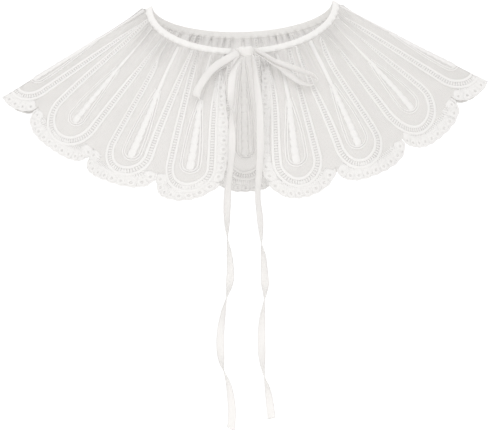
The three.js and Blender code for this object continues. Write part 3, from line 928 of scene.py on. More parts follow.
def drape_scale(lay: Placer, path: np.ndarray, across: np.ndarray) -> np.ndarray:
    """Measures how much wider than its flat pattern the draped cloth is.

    Args:
        lay: The petal's placing function.
        path: Places on the pattern, aside and down, in millimetres.
        across: The unit direction in which to measure at each.

    Returns:
        One ratio a place.
    """
    ends = [lay(*(path + way * across).T, np.zeros(len(path))) for way in (-0.5, 0.5)]
    return np.linalg.norm(ends[1] - ends[0], axis=1) / MM


def normals(path: np.ndarray) -> np.ndarray:
    """Gives the unit direction across a flat path at each of its points."""
    run = np.gradient(path, axis=0)
    run /= np.linalg.norm(run, axis=1, keepdims=True)
    return np.stack([-run[:, 1], run[:, 0]], 1)


def lengthwise(across: np.ndarray) -> np.ndarray:
    """Turns unit directions across a path to ones along it."""
    return np.stack([across[:, 1], -across[:, 0]], 1)


def evenly(path: np.ndarray, pitch: float) -> tuple[np.ndarray, np.ndarray]:
    """Spaces places evenly along a flat path.

    Args:
        path: The path, aside and down, in millimetres.
        pitch: The wished distance from one place to the next.

    Returns:
        The places, and the unit direction across the path at each.
    """
    run = DrapedCloth.running_length(path)
    count = max(round(run[-1] / pitch), 1)
    at = (np.arange(count) + 0.5) * run[-1] / count
    centres = np.stack([np.interp(at, run, path[:, k]) for k in range(2)], 1)
    across = np.stack([np.interp(at, run, normals(path)[:, k]) for k in range(2)], 1)
    return centres, across / np.linalg.norm(across, axis=1, keepdims=True)


@dataclass
class NetCape:
    """The sheer net that carries the embroidery, scalloped at its hem."""

    cloth: DrapedCloth
    wardrobe: Wardrobe
    thickness: float = 0.3
    hem_inset: float = 1.5
    columns_a_petal: int = 30
    rows: int = 56
    pattern_pitch: float = 60.0
    mean_width_at: float = 0.48
    less_notches: float = 0.97

    def build(self) -> bpy.types.Object:
        """Makes the net as two close layers joined round the rim.

        Returns:
            The net.
        """
        columns = PETALS * self.columns_a_petal + 1
        share = np.arange(columns) % self.columns_a_petal / self.columns_a_petal
        petal = np.minimum(np.arange(columns) // self.columns_a_petal, PETALS - 1)
        length = self.cloth.mapped_length
        edge = self.cloth.edge_share(petal, share) - self.hem_inset / length
        along = np.arange(columns)[:, None] / self.columns_a_petal
        t = edge[:, None] * np.linspace(0, 1, self.rows)[None, :]
        layers = np.stack([self.cloth.place(along, t, np.array(s * self.thickness / 2)) for s in (1, -1)])
        size = columns * self.rows
        grid = np.arange(size).reshape(columns, self.rows)
        outer = np.stack([grid[:-1, :-1], grid[1:, :-1], grid[1:, 1:], grid[:-1, 1:]], -1).reshape(-1, 4)
        rim = np.concatenate([grid[:, 0], grid[-1, 1:], grid[-2::-1, -1], grid[0, -2:0:-1]])
        after = np.roll(rim, -1)
        wall = np.stack([after, rim, rim + size, after + size], -1)
        mesh = PieceMesh("net_cape")
        mesh.add(layers, np.concatenate([outer, outer[:, ::-1] + size, wall]),
                 (along * self.pattern_pitch, t * length))
        return mesh.build(self.wardrobe.net, Finish.NET, ("lace_ground",))

    def flat_area(self) -> float:
        """Works out the cut's flat area from the lengths and the widths of its petals.

        Returns:
            Square metres.
        """
        middle = np.array(self.mean_width_at)
        total = sum(self.cloth.petal_length(k) * float(self.cloth.petal_width(k, middle))
                    for k in range(PETALS))
        return total * self.less_notches * MM * MM


@dataclass
class PetalEmbroidery:
    """One petal's raised work: the laddered border, the teardrop, its spine and the ring edging."""

    cloth: DrapedCloth
    wardrobe: Wardrobe
    petal: int
    border_top: float = 3.2
    border_hem: float = 8.8
    border_start: float = 5.0
    rail_share: float = 0.3
    rail: CordSection = CordSection(0.45, 0.2, 8, 0.6)
    rung_pitch: float = 2.3
    rung_overlap: float = 1.06
    rung_width: float = 1.8
    rung_height: float = 0.8
    rung_lift: float = 0.2
    loop_cord_width: float = 2.2
    loop_half_top: float = 1.6
    loop_start: float = 6.0
    loop_full: float = 0.76
    loop_apex_front: float = 0.36
    loop_apex_back: float = 0.2
    loop_line_aside: float = 0.95
    loop_line_half_width: float = 0.65
    loop_line: CordSection = CordSection(0.5, 0.2)
    stem_below_apex: float = 12.0
    stem_places: tuple[float, ...] = (0.0, 0.7, 1.0)
    stem_half_widths: tuple[float, ...] = (1.1, 1.9, 0.6)
    stem: CordSection = CordSection(0.55, 0.2, 8, 0.7)
    spine_pitch: float = 7.0
    spine_overlap: float = 1.2
    spine_width: tuple[float, float] = (4.5, 2.6)
    spine_height: tuple[float, float] = (1.3, 0.3)
    spine_lift: float = 0.15
    spine_aside: float = 1.2
    spine_below_apex: float = 3.0
    spine_lean_from: float = 0.2
    spine_lean_over: float = 0.3
    ring_pitch: float = 7.8
    ring_width: float = 7.0
    ring_height: float = 0.6
    ring_hole: float = 0.28
    ring_inset: float = 4.3
    ring_lift: float = 0.2
    plate_overlap: float = 1.2
    plate_width: float = 10.2
    plate_height: float = 0.4
    plate_hole: float = 0.2
    plate_shift: float = -0.14
    plate_lift: float = 0.1
    filling_insets: tuple[float, ...] = (8.6, 10.7, 12.8)
    filling_length: float = 2.9
    filling_width: float = 1.6
    filling_height: float = 0.7
    filling_lift: float = 0.15
    hem_cord_inset: float = 1.0
    hem_cord_half_width: float = 0.75
    hem_cord_bumps: float = 0.35
    hem_cord: CordSection = CordSection(0.5, 0.15)
    corner_slope: float = 0.6
    front_edge_top: float = 8.0
    front_edge_short: float = 1.0
    front_petals: tuple[int, ...] = (0, 1, 2, 3, 11, 12, 13, 14)
    petals_seen_inside: tuple[int, ...] = (6, 7, 8)
    side_steps: int = 60
    round_steps: int = 40
    stem_steps: int = 50
    spine_steps: int = 40
    scallop_steps: int = 120

    def __post_init__(self) -> None:
        """Keeps the petal's length, its placing function and the place where its teardrop opens."""
        self.cut = self.cloth.cuts[self.petal]
        self.length = self.cloth.petal_length(self.petal)
        self.lay = self.cloth.on_petal(self.petal)
        self.number = f"{self.petal + 1:02d}"
        # Stitches go through the net and show on both its faces; the inner one is seen only at the back.
        self.faces = (1, -1) if self.petal in self.petals_seen_inside else (1,)
        on_front = self.petal in self.front_petals
        self.loop_apex = self.loop_apex_front if on_front else self.loop_apex_back
        self.inward = (-1 if self.petal < PETALS / 2 else 1) * on_front

    def long_u(self, start: float, bottom: float, half_at: Callable[[np.ndarray], np.ndarray],
               aside: Heights) -> np.ndarray:
        """Draws a long U: down one side, round the bottom and up the other.

        Args:
            start: How far down it starts, in millimetres.
            bottom: How far down its lowest place is.
            half_at: Half its width, as a function of the distance down.
            aside: How far it stands aside of the petal's middle line, at the four heights.

        Returns:
            The path, aside and down, in millimetres.
        """
        radius = float(half_at(np.array(bottom)))
        centre = bottom - radius
        down = np.linspace(start, centre, self.side_steps, endpoint=False)
        turn = np.linspace(0, np.pi, self.round_steps)
        middle = float(half_at(np.array(centre)))
        side = np.concatenate([-half_at(down), -middle * np.cos(turn), half_at(down)[::-1]])
        along = np.concatenate([down, centre + radius * np.sin(turn), down[::-1]])
        return np.stack([side + through_heights(aside, along / self.length), along], 1)

    def border_width(self, down: np.ndarray) -> np.ndarray:
        """Gives the border's width at distances down the petal."""
        return self.border_top + (self.border_hem - self.border_top) * (1 - (1 - down / self.length) ** 2)

    def border_half_at(self, down: np.ndarray) -> np.ndarray:
        """Gives half the width between the border's sides at distances down the petal."""
        return through_heights(self.cut.border, down / self.length)

    def build_border(self) -> bpy.types.Object:
        """Makes the border: two satin-stitched rails with a ladder of rungs between them.

        Returns:
            The border.
        """
        mesh = PieceMesh(f"laddered_border_{self.number}", self.faces)
        bottom = self.length - self.cut.edging - self.border_hem / 2
        path = self.long_u(self.border_start, bottom, self.border_half_at, self.cut.aside)
        across = normals(path)
        width = self.border_width(path[:, 1]) / drape_scale(self.lay, path, across)
        rail = width * self.rail_share / 2
        for way in (-1, 1):
            lay_cord(mesh, self.lay, path + way * across * (width / 2 - rail)[:, None], rail, self.rail)
        centres, headings = evenly(path, self.rung_pitch)
        long = self.border_width(centres[:, 1]) / drape_scale(self.lay, centres, headings)
        sizes = (long * (self.rung_overlap - 2 * self.rail_share), self.rung_width, self.rung_height)
        lay_motifs(mesh, self.lay, Motif.pad(), centres, headings, sizes, self.rung_lift)
        return mesh.build(self.wardrobe.stitches, Finish.THREAD, (f"petal_border_{self.number}",))

    def loop_bottom(self) -> float:
        """Gives how far down the petal the teardrop's middle line reaches."""
        return self.length - self.cut.loop_to_tip - self.loop_cord_width / 2

    def loop_half_at(self, down: np.ndarray) -> np.ndarray:
        """Gives half the width of the teardrop at distances down the petal."""
        opened = np.clip((down / self.length - self.loop_apex) / (self.loop_full - self.loop_apex), 0, 1)
        return self.loop_half_top + (self.cut.loop_half - self.loop_half_top) * np.sin(opened * np.pi / 2)

    def build_loop(self) -> bpy.types.Object:
        """Makes the teardrop: a double line of corded stitches, with a thicker stem.

        Returns:
            The teardrop.
        """
        mesh = PieceMesh(f"corded_teardrop_{self.number}", self.faces)
        apex = self.loop_apex * self.length
        path = self.long_u(apex, self.loop_bottom(), self.loop_half_at, self.cut.loop_aside)
        for way in (-1, 1):
            lay_cord(mesh, self.lay, path + way * normals(path) * self.loop_line_aside,
                     self.loop_line_half_width, self.loop_line)
        down = np.linspace(self.loop_start, apex + self.stem_below_apex, self.stem_steps)
        share = (down - down[0]) / (down[-1] - down[0])
        wide = np.interp(share, self.stem_places, self.stem_half_widths)
        lay_cord(mesh, self.lay, np.stack([self.spine_line(down), down], 1), wide, self.stem)
        return mesh.build(self.wardrobe.cords, Finish.THREAD, (f"petal_loop_{self.number}",))

    def spine_line(self, down: np.ndarray) -> np.ndarray:
        """Gives how far the stem and the spine stand aside, a little towards the centre front.

        Args:
            down: Distances down the petal, in millimetres.

        Returns:
            Distances aside, in millimetres.
        """
        t = down / self.length
        lean = (np.clip((t - self.spine_lean_from) / self.spine_lean_over, 0, 1)
                * np.clip((1.0 - t) / self.spine_lean_over, 0, 1))
        return through_heights(self.cut.loop_aside, t) + self.inward * self.spine_aside * lean

    def build_spine(self) -> bpy.types.Object:
        """Makes the spine: a row of padded satin-stitch leaves down the middle of the teardrop.

        Returns:
            The spine.
        """
        mesh = PieceMesh(f"satin_spine_{self.number}", self.faces)
        start = self.loop_apex * self.length + self.spine_below_apex
        end = self.loop_bottom() - self.loop_cord_width
        line = np.stack([np.zeros(self.spine_steps), np.linspace(start, end, self.spine_steps)], 1)
        centres, across = evenly(line, self.spine_pitch)
        share = (centres[:, 1] - start) / (end - start)
        centres[:, 0] = self.spine_line(centres[:, 1])
        wide, high = (least + more * share for least, more in (self.spine_width, self.spine_height))
        lay_motifs(mesh, self.lay, Motif.pad(9, 10, 0.3), centres, lengthwise(across),
                   (self.spine_pitch * self.spine_overlap, wide, high), self.spine_lift)
        return mesh.build(self.wardrobe.stitches, Finish.THREAD)

    def scallop(self, inset: float) -> np.ndarray:
        """Draws the petal's scalloped edge, moved in.

        Args:
            inset: How far in, in millimetres.

        Returns:
            The path, aside and down, in millimetres.
        """
        share = (1 - np.cos(np.pi * np.linspace(0.0, 1.0, self.scallop_steps + 1))) / 2
        t = self.cloth.edge_share(np.array(self.petal), share)
        edge = np.stack([(share - 0.5) * self.cloth.petal_width(self.petal, t), t * self.length], 1)
        down = np.sign(normals(edge)[self.scallop_steps // 2, 1])
        moved = edge + normals(edge) * down * -inset
        half = self.cloth.petal_width(self.petal, moved[:, 1] / self.length) / 2
        return moved[np.abs(moved[:, 0]) <= half - inset * self.corner_slope]

    def front_edge(self, inset: float) -> np.ndarray | None:
        """Draws the front edge of the first or last petal, moved in.

        Args:
            inset: How far in, in millimetres.

        Returns:
            The path, aside and down, in millimetres, or nothing for the other petals.
        """
        if self.petal not in (0, PETALS - 1):
            return None
        end = self.length * (1 - self.cloth.notch_share) - self.front_edge_short
        down = np.linspace(self.front_edge_top, end, self.side_steps)
        half = self.cloth.petal_width(self.petal, down / self.length) / 2
        way = -1 if self.petal == 0 else 1
        edge = np.stack([way * half, down], 1)
        inner = edge - np.array([way * inset / 2, 0.0])
        scale = drape_scale(self.lay, inner, np.tile([1.0, 0.0], (len(down), 1)))
        edge[:, 0] -= way * inset / scale
        return edge if self.petal == 0 else edge[::-1]

    def build_edging(self) -> bpy.types.Object:
        """Makes the ring edging: eyelets in a dense band, each with a raised ring, and an outer cord.

        Returns:
            The edging.
        """
        mesh = PieceMesh(f"ring_edging_{self.number}", self.faces)
        for draw in (self.scallop, self.front_edge):
            rows = [draw(inset) for inset in (self.hem_cord_inset, self.ring_inset, *self.filling_insets)]
            if any(row is None or len(row) < 4 for row in rows):
                continue
            outline, middle, *fillings = rows
            centres, across = evenly(middle, self.ring_pitch)
            along = lengthwise(across)
            narrow = 1 / drape_scale(self.lay, centres, across)
            lay_motifs(mesh, self.lay, Motif.eyelet_plate(self.plate_hole, self.plate_shift), centres, along,
                       (self.ring_pitch * self.plate_overlap, self.plate_width * narrow, self.plate_height),
                       self.plate_lift)
            lay_motifs(mesh, self.lay, Motif.ring(self.ring_hole), centres, along,
                       (self.ring_width, self.ring_width * narrow, self.ring_height), self.ring_lift)
            for filling in fillings if draw == self.scallop else fillings[:1]:
                dots, headings = evenly(filling, self.ring_pitch / 4)
                slim = self.filling_length / drape_scale(self.lay, dots, headings)
                lay_motifs(mesh, self.lay, Motif.pad(), dots, headings,
                           (slim, self.filling_width, self.filling_height), self.filling_lift)
            run = DrapedCloth.running_length(outline)
            bumps = self.hem_cord_bumps * np.cos(2 * np.pi * run / run[-1] * len(centres))
            lay_cord(mesh, self.lay, outline - normals(outline) * bumps[:, None],
                     self.hem_cord_half_width, self.hem_cord)
        return mesh.build(self.wardrobe.stitches, Finish.THREAD)


@dataclass
class NeckBinding:
    """The binding folded over the neck edge and top-stitched, a casing for the ribbon."""

    cloth: DrapedCloth
    wardrobe: Wardrobe
    top: float = -1.3
    bottom: float = 4.5
    half_thickness: float = 0.9
    wall_power: float = 0.15
    edge_power: float = 0.5
    pucker: float = 0.05
    puckers_a_petal: int = 5
    pucker_drift: tuple[float, float] = (1.1, 3.7)
    steps_a_petal: int = 24
    sides: int = 16
    pattern_pitch: float = 31.0
    stitch_pitch: float = 3.0
    stitch_down: float = 3.3
    stitch_size: tuple[float, ...] = (2.0, 0.5, 0.4)
    stitch_lift: float = 0.05

    def build(self) -> bpy.types.Object:
        """Makes the binding as a soft, slightly puckered tape.

        Returns:
            The binding.
        """
        rows = PETALS * self.steps_a_petal + 1
        along = np.linspace(0, PETALS, rows)[:, None]
        turn = turns_round(self.sides, 0.5)[None, :]
        height = (self.bottom - self.top) / 2
        wall = flattened(np.cos(turn), self.wall_power)
        size, rate = self.pucker_drift
        fold = np.cos(2 * np.pi * self.puckers_a_petal * along + size * np.sin(rate * along))
        lift = self.half_thickness * wall + self.pucker * fold * np.sign(wall)
        down = self.top + height + height * flattened(np.sin(turn), self.edge_power)
        points = self.cloth.place(along, down / self.cloth.mapped_length, lift)
        mesh = PieceMesh("bound_neckline")
        mesh.add(points, tube_quads(rows, self.sides), (along * self.pattern_pitch, down + lift))
        return mesh.build(self.wardrobe.batiste, Finish.BINDING, ("neck_binding",))

    def build_stitches(self) -> bpy.types.Object:
        """Makes the row of top-stitches along both faces of the binding.

        Returns:
            The stitches.
        """
        mesh = PieceMesh("binding_stitches", (1, -1))
        pitch = float(self.cloth.neck_run[-1]) / PETALS
        count = round(pitch * PETALS / self.stitch_pitch)
        places = (np.arange(count) + 0.5) * PETALS / count * pitch
        centres = np.stack([places, np.full(count, self.stitch_down)], 1)

        def lay(side: np.ndarray, down: np.ndarray, lift: np.ndarray) -> Points:
            """Lays places counted along the neck edge on the cloth."""
            return self.cloth.place(side / pitch, down / self.cloth.mapped_length, lift)

        lay_motifs(mesh, lay, Motif.pad(4, 4), centres, np.tile([1.0, 0.0], (count, 1)), self.stitch_size,
                   self.half_thickness + self.stitch_lift)
        return mesh.build(self.wardrobe.stitches, Finish.THREAD)


RibbonRow = tuple[float, float, float, float, float]


@dataclass
class RibbonRun:
    """A stretch of flat satin ribbon along a smooth line.

    Each row of the route is x, y and z in millimetres, and then the slope of the ribbon's width seen
    from the front and its turn out of that view, in degrees.
    """

    wardrobe: Wardrobe
    name: str
    node: str
    route: tuple[RibbonRow, ...]
    width: float = 6.5
    thickness: float = 0.45
    edge_from: float = 0.8
    edge_fullness: float = 0.25
    cup: float = 0.35
    steps: int = 160
    strips: int = 8
    end_slant: float = 0.0
    slanted_share: float = 0.015

    @staticmethod
    def sampled(rows: np.ndarray, shares: np.ndarray) -> np.ndarray:
        """Reads a centripetal spline through rows of values at shares of its length.

        Args:
            rows: The values that the spline passes through.
            shares: Where to read it, from zero to one.

        Returns:
            One row of values a share.
        """
        padded = np.concatenate([[2 * rows[0] - rows[1]], rows, [2 * rows[-1] - rows[-2]]])
        knots = np.sqrt(np.maximum(np.linalg.norm(np.diff(padded, axis=0), axis=1), 1e-6))
        at = shares * (len(rows) - 1)
        part = np.minimum(at.astype(int), len(rows) - 2)
        weight = (at - part)[:, None]
        p0, p1, p2, p3 = (padded[part + k] for k in range(4))
        d0, d1, d2 = (knots[part + k][:, None] for k in range(3))
        start = ((p1 - p0) / d0 - (p2 - p0) / (d0 + d1) + (p2 - p1) / d1) * d1
        end = ((p2 - p1) / d1 - (p3 - p1) / (d1 + d2) + (p3 - p2) / d2) * d1
        return (p1 + start * weight + (3 * (p2 - p1) - 2 * start - end) * weight ** 2
                + (2 * (p1 - p2) + start + end) * weight ** 3)

    def middle_line(self, shares: np.ndarray) -> Points:
        """Gives the ribbon's middle line in metres."""
        rows = np.array(self.route, float)
        return self.sampled(rows[:, :3], shares) * MM

    def build(self) -> bpy.types.Object:
        """Makes the ribbon, slightly cupped across, with a firmer edge on each side.

        Returns:
            The ribbon.
        """
        shares = np.linspace(0, 1, self.steps + 1)
        middle = self.middle_line(shares) / MM
        slope, turn = np.radians(self.sampled(np.array(self.route, float)[:, 3:], shares)).T
        run = np.gradient(middle, axis=0)
        run /= np.linalg.norm(run, axis=1, keepdims=True)
        wide = np.stack([np.cos(slope) * np.cos(turn), np.sin(turn), -np.sin(slope) * np.cos(turn)], 1)
        face = np.cross(run, wide)
        face /= np.linalg.norm(face, axis=1, keepdims=True)
        side = np.cross(face, run)
        place = np.linspace(-1, 1, self.strips + 1)
        ring_side = np.concatenate([place, place[::-1]]) * self.width / 2
        edge = 0.5 + self.edge_fullness * (np.abs(place) > self.edge_from)
        bow = self.cup * (1 - place ** 2)
        ring_face = np.concatenate([bow + edge * self.thickness, (bow - edge * self.thickness)[::-1]])
        ending = np.clip((shares - (1 - self.slanted_share)) / self.slanted_share, 0, 1)[:, None]
        slant = self.end_slant * ending * ring_side[None, :]
        points = (middle[:, None] + side[:, None] * ring_side[None, :, None]
                  + face[:, None] * ring_face[None, :, None] + run[:, None] * slant[..., None])
        length = DrapedCloth.running_length(middle)
        count = len(ring_side)
        cap = np.array([[k, k + 1, count - 2 - k, count - 1 - k] for k in range(self.strips)])
        mesh = PieceMesh(self.name)
        mesh.add(points * MM, np.concatenate([band_quads(len(shares), count), cap,
                                              cap[:, ::-1] + self.steps * count]),
                 (ring_side + ring_face, length[:, None]))
        return mesh.build(self.wardrobe.satin, Finish.RIBBON, (self.node,))


@dataclass
class RibbonBow:
    """The bow at the centre front: its knot, its two loops and its two long tails."""

    wardrobe: Wardrobe
    ribbon_width: float = 6.5
    loop_left: tuple[RibbonRow, ...] = (
        (-4.9, -64.6, -48.4, 40, 0), (-12, -68.3, -52.7, 44, 0), (-19.6, -70.4, -57.1, 46, 0),
        (-25.2, -71.6, -61, 43, 0), (-29.9, -73, -65.7, 36, 0), (-33.8, -74.3, -70.9, 30, 0),
        (-37.2, -75.7, -75.9, 25, 0), (-39.8, -76.8, -80.5, 26, 0), (-40.6, -77, -84, 34, 0),
        (-40, -75.2, -85.7, 38, 0), (-39.2, -73.4, -84.4, 34, 0), (-37.7, -72.4, -80.3, 22, 0),
        (-35.9, -71.2, -74.8, 22, 0), (-32.9, -70, -69.4, 32, 0), (-28.1, -68.8, -64.3, 40, 0),
        (-21.8, -67.4, -60.5, 46, 0), (-15.4, -66, -56.4, 50, 0), (-7.9, -62.5, -48.3, 44, 0),
    )
    loop_right: tuple[RibbonRow, ...] = (
        (9.5, -64.6, -46.4, -55, -82), (14.8, -67.8, -50.3, -58, -70), (20.2, -69.3, -53.8, -60, -62),
        (26, -69.9, -57.3, -64, -58), (31.8, -69.9, -59.5, -70, -52), (38.5, -69.3, -62.1, -71, -52),
        (46.1, -68.5, -65, -70, -56), (53.6, -67.8, -67.9, -66, -66), (59.3, -67.4, -70.9, -50, -80),
        (61.7, -67.4, -74.3, 0, -88), (60.1, -67.6, -77.3, 70, -86), (54.7, -67.8, -77.9, 98, -72),
        (48.3, -68, -76.1, 112, -56), (42.9, -68.4, -72.8, 124, -42), (37.8, -68.8, -68.7, 128, -38),
        (32.2, -68.6, -64.1, 127, -48), (26.3, -68, -60.2, 122, -62), (20.2, -67.2, -56.2, 120, -72),
        (14.8, -66.4, -52.9, 120, -80), (9.9, -65, -49.9, 120, -84),
    )
    tail_left: tuple[RibbonRow, ...] = (
        (-2.4, -63, -51.9, 0, -60), (-8, -67, -62, 0, -40), (-10.7, -71, -71, 0, 0),
        (-11.9, -74.5, -82, 0, 15), (-12.2, -78.5, -94, 0, 60), (-12.4, -81, -103, 0, 115),
        (-11.9, -83, -115, 0, 145), (-12.4, -85.6, -130, 0, 200), (-14.1, -88.5, -147, 0, 225),
        (-16.4, -90.2, -162, 0, 222), (-17.6, -91.2, -174, 0, 205), (-18.3, -91.3, -190, 0, 225),
        (-18.3, -91.3, -205, 0, 270), (-17.1, -91.3, -219, 0, 310), (-16.7, -91.3, -235, 0, 340),
        (-18.2, -91.3, -245, 0, 400), (-20.6, -91.3, -255, 0, 450), (-23.6, -91.3, -267, 0, 486),
        (-26.2, -91.3, -282, 0, 515), (-26.9, -91.3, -298, 0, 555), (-26, -91.3, -309, 0, 598),
        (-24.5, -91.3, -315, 0, 630), (-21.4, -91.3, -325, 0, 662), (-19.5, -91.3, -337, 0, 694),
        (-19, -91.3, -352, 0, 722), (-20.1, -91.3, -364, 0, 738),
    )
    tail_right: tuple[RibbonRow, ...] = (
        (6.6, -63.2, -52, 0, -70), (8.2, -66.5, -59, 0, -58), (9.6, -71.5, -71, 0, -48),
        (10.7, -75, -83, 0, -35), (11.7, -78, -95, 0, -25), (11.8, -82, -115, 0, -10),
        (11.3, -85.5, -135, 0, 20), (9.5, -88.5, -153, 0, 40), (7.9, -90.7, -170, 0, 50),
        (9.2, -91.3, -189, 0, 42), (9.7, -91.3, -201, 0, 60), (10, -91.3, -211, 0, 90),
        (11.1, -91.3, -221, 0, 128), (11.7, -91.3, -237, 0, 150), (11.6, -91.3, -249, 0, 230),
        (10.8, -91.3, -258, 0, 272), (8.9, -91.3, -271, 0, 310), (7.6, -91.3, -287, 0, 345),
        (7.4, -91.3, -303, 0, 390), (8, -91.3, -314, 0, 425), (9.1, -91.3, -321, 0, 450),
        (11.3, -91.3, -331, 0, 490), (12.7, -91.3, -342, 0, 520), (13.9, -91.3, -356, 0, 545),
    )
    knot: tuple[tuple[float, ...], ...] = (
        (-10.2, -57.8, -47.4, 1.2, 2.3), (-7.2, -59.6, -47.4, 1.1, 2.2), (-5, -61.4, -47.4, 1.9, 3.1),
        (-2, -62.8, -47.4, 3, 4), (2.2, -63.1, -47.5, 3.3, 4.2), (6.4, -62.8, -47.6, 3, 4),
        (9, -60.6, -47.5, 2, 3), (10.2, -58, -47.4, 1.2, 2.3),
    )
    knot_creased: tuple[float, ...] = (0, 0, 0.4, 1, 1, 1, 0.5, 0)
    crease_depth: float = 0.07
    crease_waves: tuple[tuple[float, ...], ...] = ((1.0, 3, 9), (0.6, 1, 26))
    tail_slants: tuple[float, float] = (0.5, 0.1)
    tail_steps: int = 240
    loop_cup: float = 0.5

    def build_tails(self) -> list[bpy.types.Object]:
        """Makes the two tails, which hang down from the knot, and logs their lengths.

        Returns:
            The left tail and the right one.
        """
        tails = []
        for side, route, slant in zip(("left", "right"), (self.tail_left, self.tail_right), self.tail_slants):
            run = RibbonRun(self.wardrobe, f"ribbon_tail_{side}", f"tie_tail_{side}", route,
                            steps=self.tail_steps, end_slant=slant)
            piece = run.build()
            path = run.middle_line(np.linspace(0, 1, self.tail_steps + 1))
            length = float(DrapedCloth.running_length(path)[-1])
            tuple(path[0])
            [list(p) for p in path]
            LOG.info("%s: %.0f mm long", piece.name, length / MM)
            tails.append(piece)
        return tails

    def build_loops(self) -> list[bpy.types.Object]:
        """Makes the two loops, which go out of the knot and back into it."""
        return [RibbonRun(self.wardrobe, f"ribbon_loop_{side}", f"bow_loop_{side}", route,
                          cup=self.loop_cup).build()
                for side, route in (("left", self.loop_left), ("right", self.loop_right))]

    def build_knot(self, steps: int = 48, sides: int = 40) -> bpy.types.Object:
        """Makes the knot: ribbon wound round once, creased where it is drawn tight.

        Args:
            steps: Sections from end to end.
            sides: Points round each section, an even number.

        Returns:
            The knot.
        """
        rows = np.array(self.knot, float)
        shares = np.linspace(0, 1, steps)
        x, y, z, deep, high = RibbonRun.sampled(rows, shares).T[:, :, None]
        turn, at = turns_round(sides)[None, :], shares[:, None]
        creased = np.interp(at, np.linspace(0, 1, len(rows)), self.knot_creased)
        crease = sum(size * np.cos(round_it * turn + along * at)
                     for size, round_it, along in self.crease_waves)
        swell = 1 + self.crease_depth * creased * crease
        points = np.stack(np.broadcast_arrays(x, y + deep * swell * np.cos(turn),
                                              z + high * swell * np.sin(turn)), -1)
        mesh = PieceMesh("ribbon_knot")
        mesh.add(points * MM, tube_quads(steps, sides), (x, turn * high))
        return mesh.build(self.wardrobe.satin, Finish.RIBBON, ("bow_knot",))


@dataclass
class PhotoCamera:
    """The camera of the photograph: level, straight in front and a long way off."""

    place_mm: tuple[float, float, float] = (-4.0, -1500.0, -186.2)
    focal_pixels: float = 1694.9
    image_width: int = 488
    sensor_mm: float = 36.0
    clip_end: float = 20.0
    roll_degrees: float = 1.7

    def build(self) -> bpy.types.Object:
        """Makes the camera and sets it as the scene's.

        Returns:
            The camera.
        """
        lens = bpy.data.cameras.new("photo_camera")
        lens.sensor_width = self.sensor_mm
        lens.lens = self.focal_pixels * self.sensor_mm / self.image_width
        lens.clip_end = self.clip_end
        camera = add_object("photo_camera", lens)
        level = Matrix.Rotation(math.radians(90), 4, "X")
        rolled = Matrix.Rotation(math.radians(-self.roll_degrees), 4, "Z")
        camera.matrix_world = Matrix.Translation(Vector(self.place_mm) * MM) @ level @ rolled
        bpy.context.scene.camera = camera
        return camera


@dataclass(frozen=True)
class SoftboxLight:
    """A large soft light, looking at the collar's middle."""

    name: str
    place: tuple[float, float, float]
    size: float
    watts: float
    aim: tuple[float, float, float] = (0.0, 0.0, -0.1)

    def build(self) -> bpy.types.Object:
        """Makes the light and turns it to the collar.

        Returns:
            The light.
        """
        light = bpy.data.lights.new(self.name, "AREA")
        light.shape = "SQUARE"
        light.size = self.size
        light.energy = self.watts
        lamp = add_object(self.name, light)
        lamp.location = self.place
        lamp.rotation_euler = (Vector(self.aim) - Vector(self.place)).to_track_quat("-Z", "Y").to_euler()
        return lamp


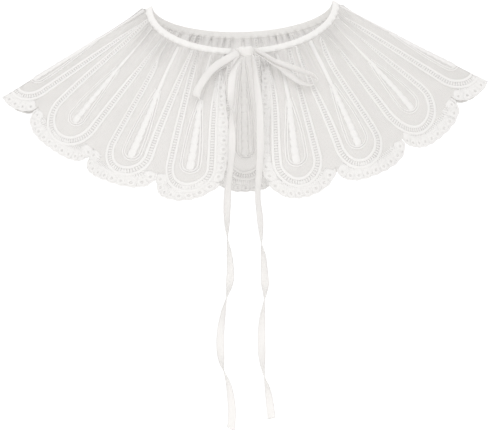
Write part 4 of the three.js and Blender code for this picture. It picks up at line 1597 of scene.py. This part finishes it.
@dataclass
class WhiteStudio:
    """A bright, plain studio: a pale paper floor, white surroundings and soft lights."""

    floor_height: float = -0.55
    floor_radius: float = 1.2
    floor_sides: int = 96
    surround: float = 0.946
    surround_shade: str = "#F9F8F7"
    backdrop: float = 1.15
    backdrop_shade: str = "#FFFFFF"
    lights: tuple[SoftboxLight, ...] = (
        SoftboxLight("softbox_key", (0.45, -1.5, 1.2), 1.2, 6.5),
        SoftboxLight("softbox_fill", (-1.3, -1.3, 0.35), 1.2, 4.0),
        SoftboxLight("softbox_top", (0.0, 0.25, 1.5), 1.2, 3.0),
        SoftboxLight("softbox_under", (0.0, -0.25, -0.5), 0.4, 0.25),
    )

    def build(self) -> None:
        """Makes the floor, the surroundings and the lights."""
        self.build_floor()
        self.build_surround()
        for light in self.lights:
            light.build()
        bpy.context.scene.view_settings.view_transform = "Standard"

    def build_floor(self) -> None:
        """Makes the round paper floor below the collar."""
        turn = turns_round(self.floor_sides)
        rim = np.stack([np.cos(turn), np.sin(turn), 0 * turn], 1) * self.floor_radius
        mesh = bpy.data.meshes.new("paper_floor")
        mesh.from_pydata([tuple(p) for p in rim], [], [tuple(range(self.floor_sides))])
        mesh.materials.append(StudioPaper().build())
        floor = add_object("paper_floor", mesh)
        floor.location.z = self.floor_height

    def build_surround(self) -> None:
        """Makes the white surroundings, brighter as a background than as a light."""
        world = bpy.data.worlds.new("white_surround")
        world.use_nodes = True
        tree = world.node_tree
        tree.nodes.clear()
        room, seen = (add_node(tree, "ShaderNodeBackground", {"Color": linear(shade), "Strength": strength})
                      for shade, strength in ((self.surround_shade, self.surround),
                                              (self.backdrop_shade, self.backdrop)))
        path = add_node(tree, "ShaderNodeLightPath")
        mixed = add_node(tree, "ShaderNodeMixShader", {},
                         {0: path.outputs["Is Camera Ray"], 1: room.outputs[0], 2: seen.outputs[0]})
        add_node(tree, "ShaderNodeOutputWorld", {}, {"Surface": mixed.outputs[0]})
        bpy.context.scene.world = world


@dataclass
class LaceCollar:
    """The whole collar, built from the net outward."""

    wardrobe: Wardrobe
    cloth: DrapedCloth = field(default_factory=DrapedCloth)

    def build(self) -> None:
        """Builds the collar's pieces in order, the free ribbons first."""
        bow = RibbonBow(self.wardrobe)
        bow.build_tails()
        bow.build_loops()
        bow.build_knot()
        cape = NetCape(self.cloth, self.wardrobe)
        net = cape.build()
        binding = NeckBinding(self.cloth, self.wardrobe)
        sewn_on = [binding.build(), binding.build_stitches()]
        for petal in range(PETALS):
            work = PetalEmbroidery(self.cloth, self.wardrobe, petal)
            sewn_on += [work.build_border(), work.build_loop(), work.build_spine(), work.build_edging()]
        cape.flat_area()


def main() -> None:
    """Builds the camera, the studio and the collar."""
    logging.basicConfig(level=logging.INFO, format="%(message)s")
    PhotoCamera().build()
    WhiteStudio().build()
    LaceCollar(Wardrobe.filled()).build()


if __name__ == "__main__":
    main()
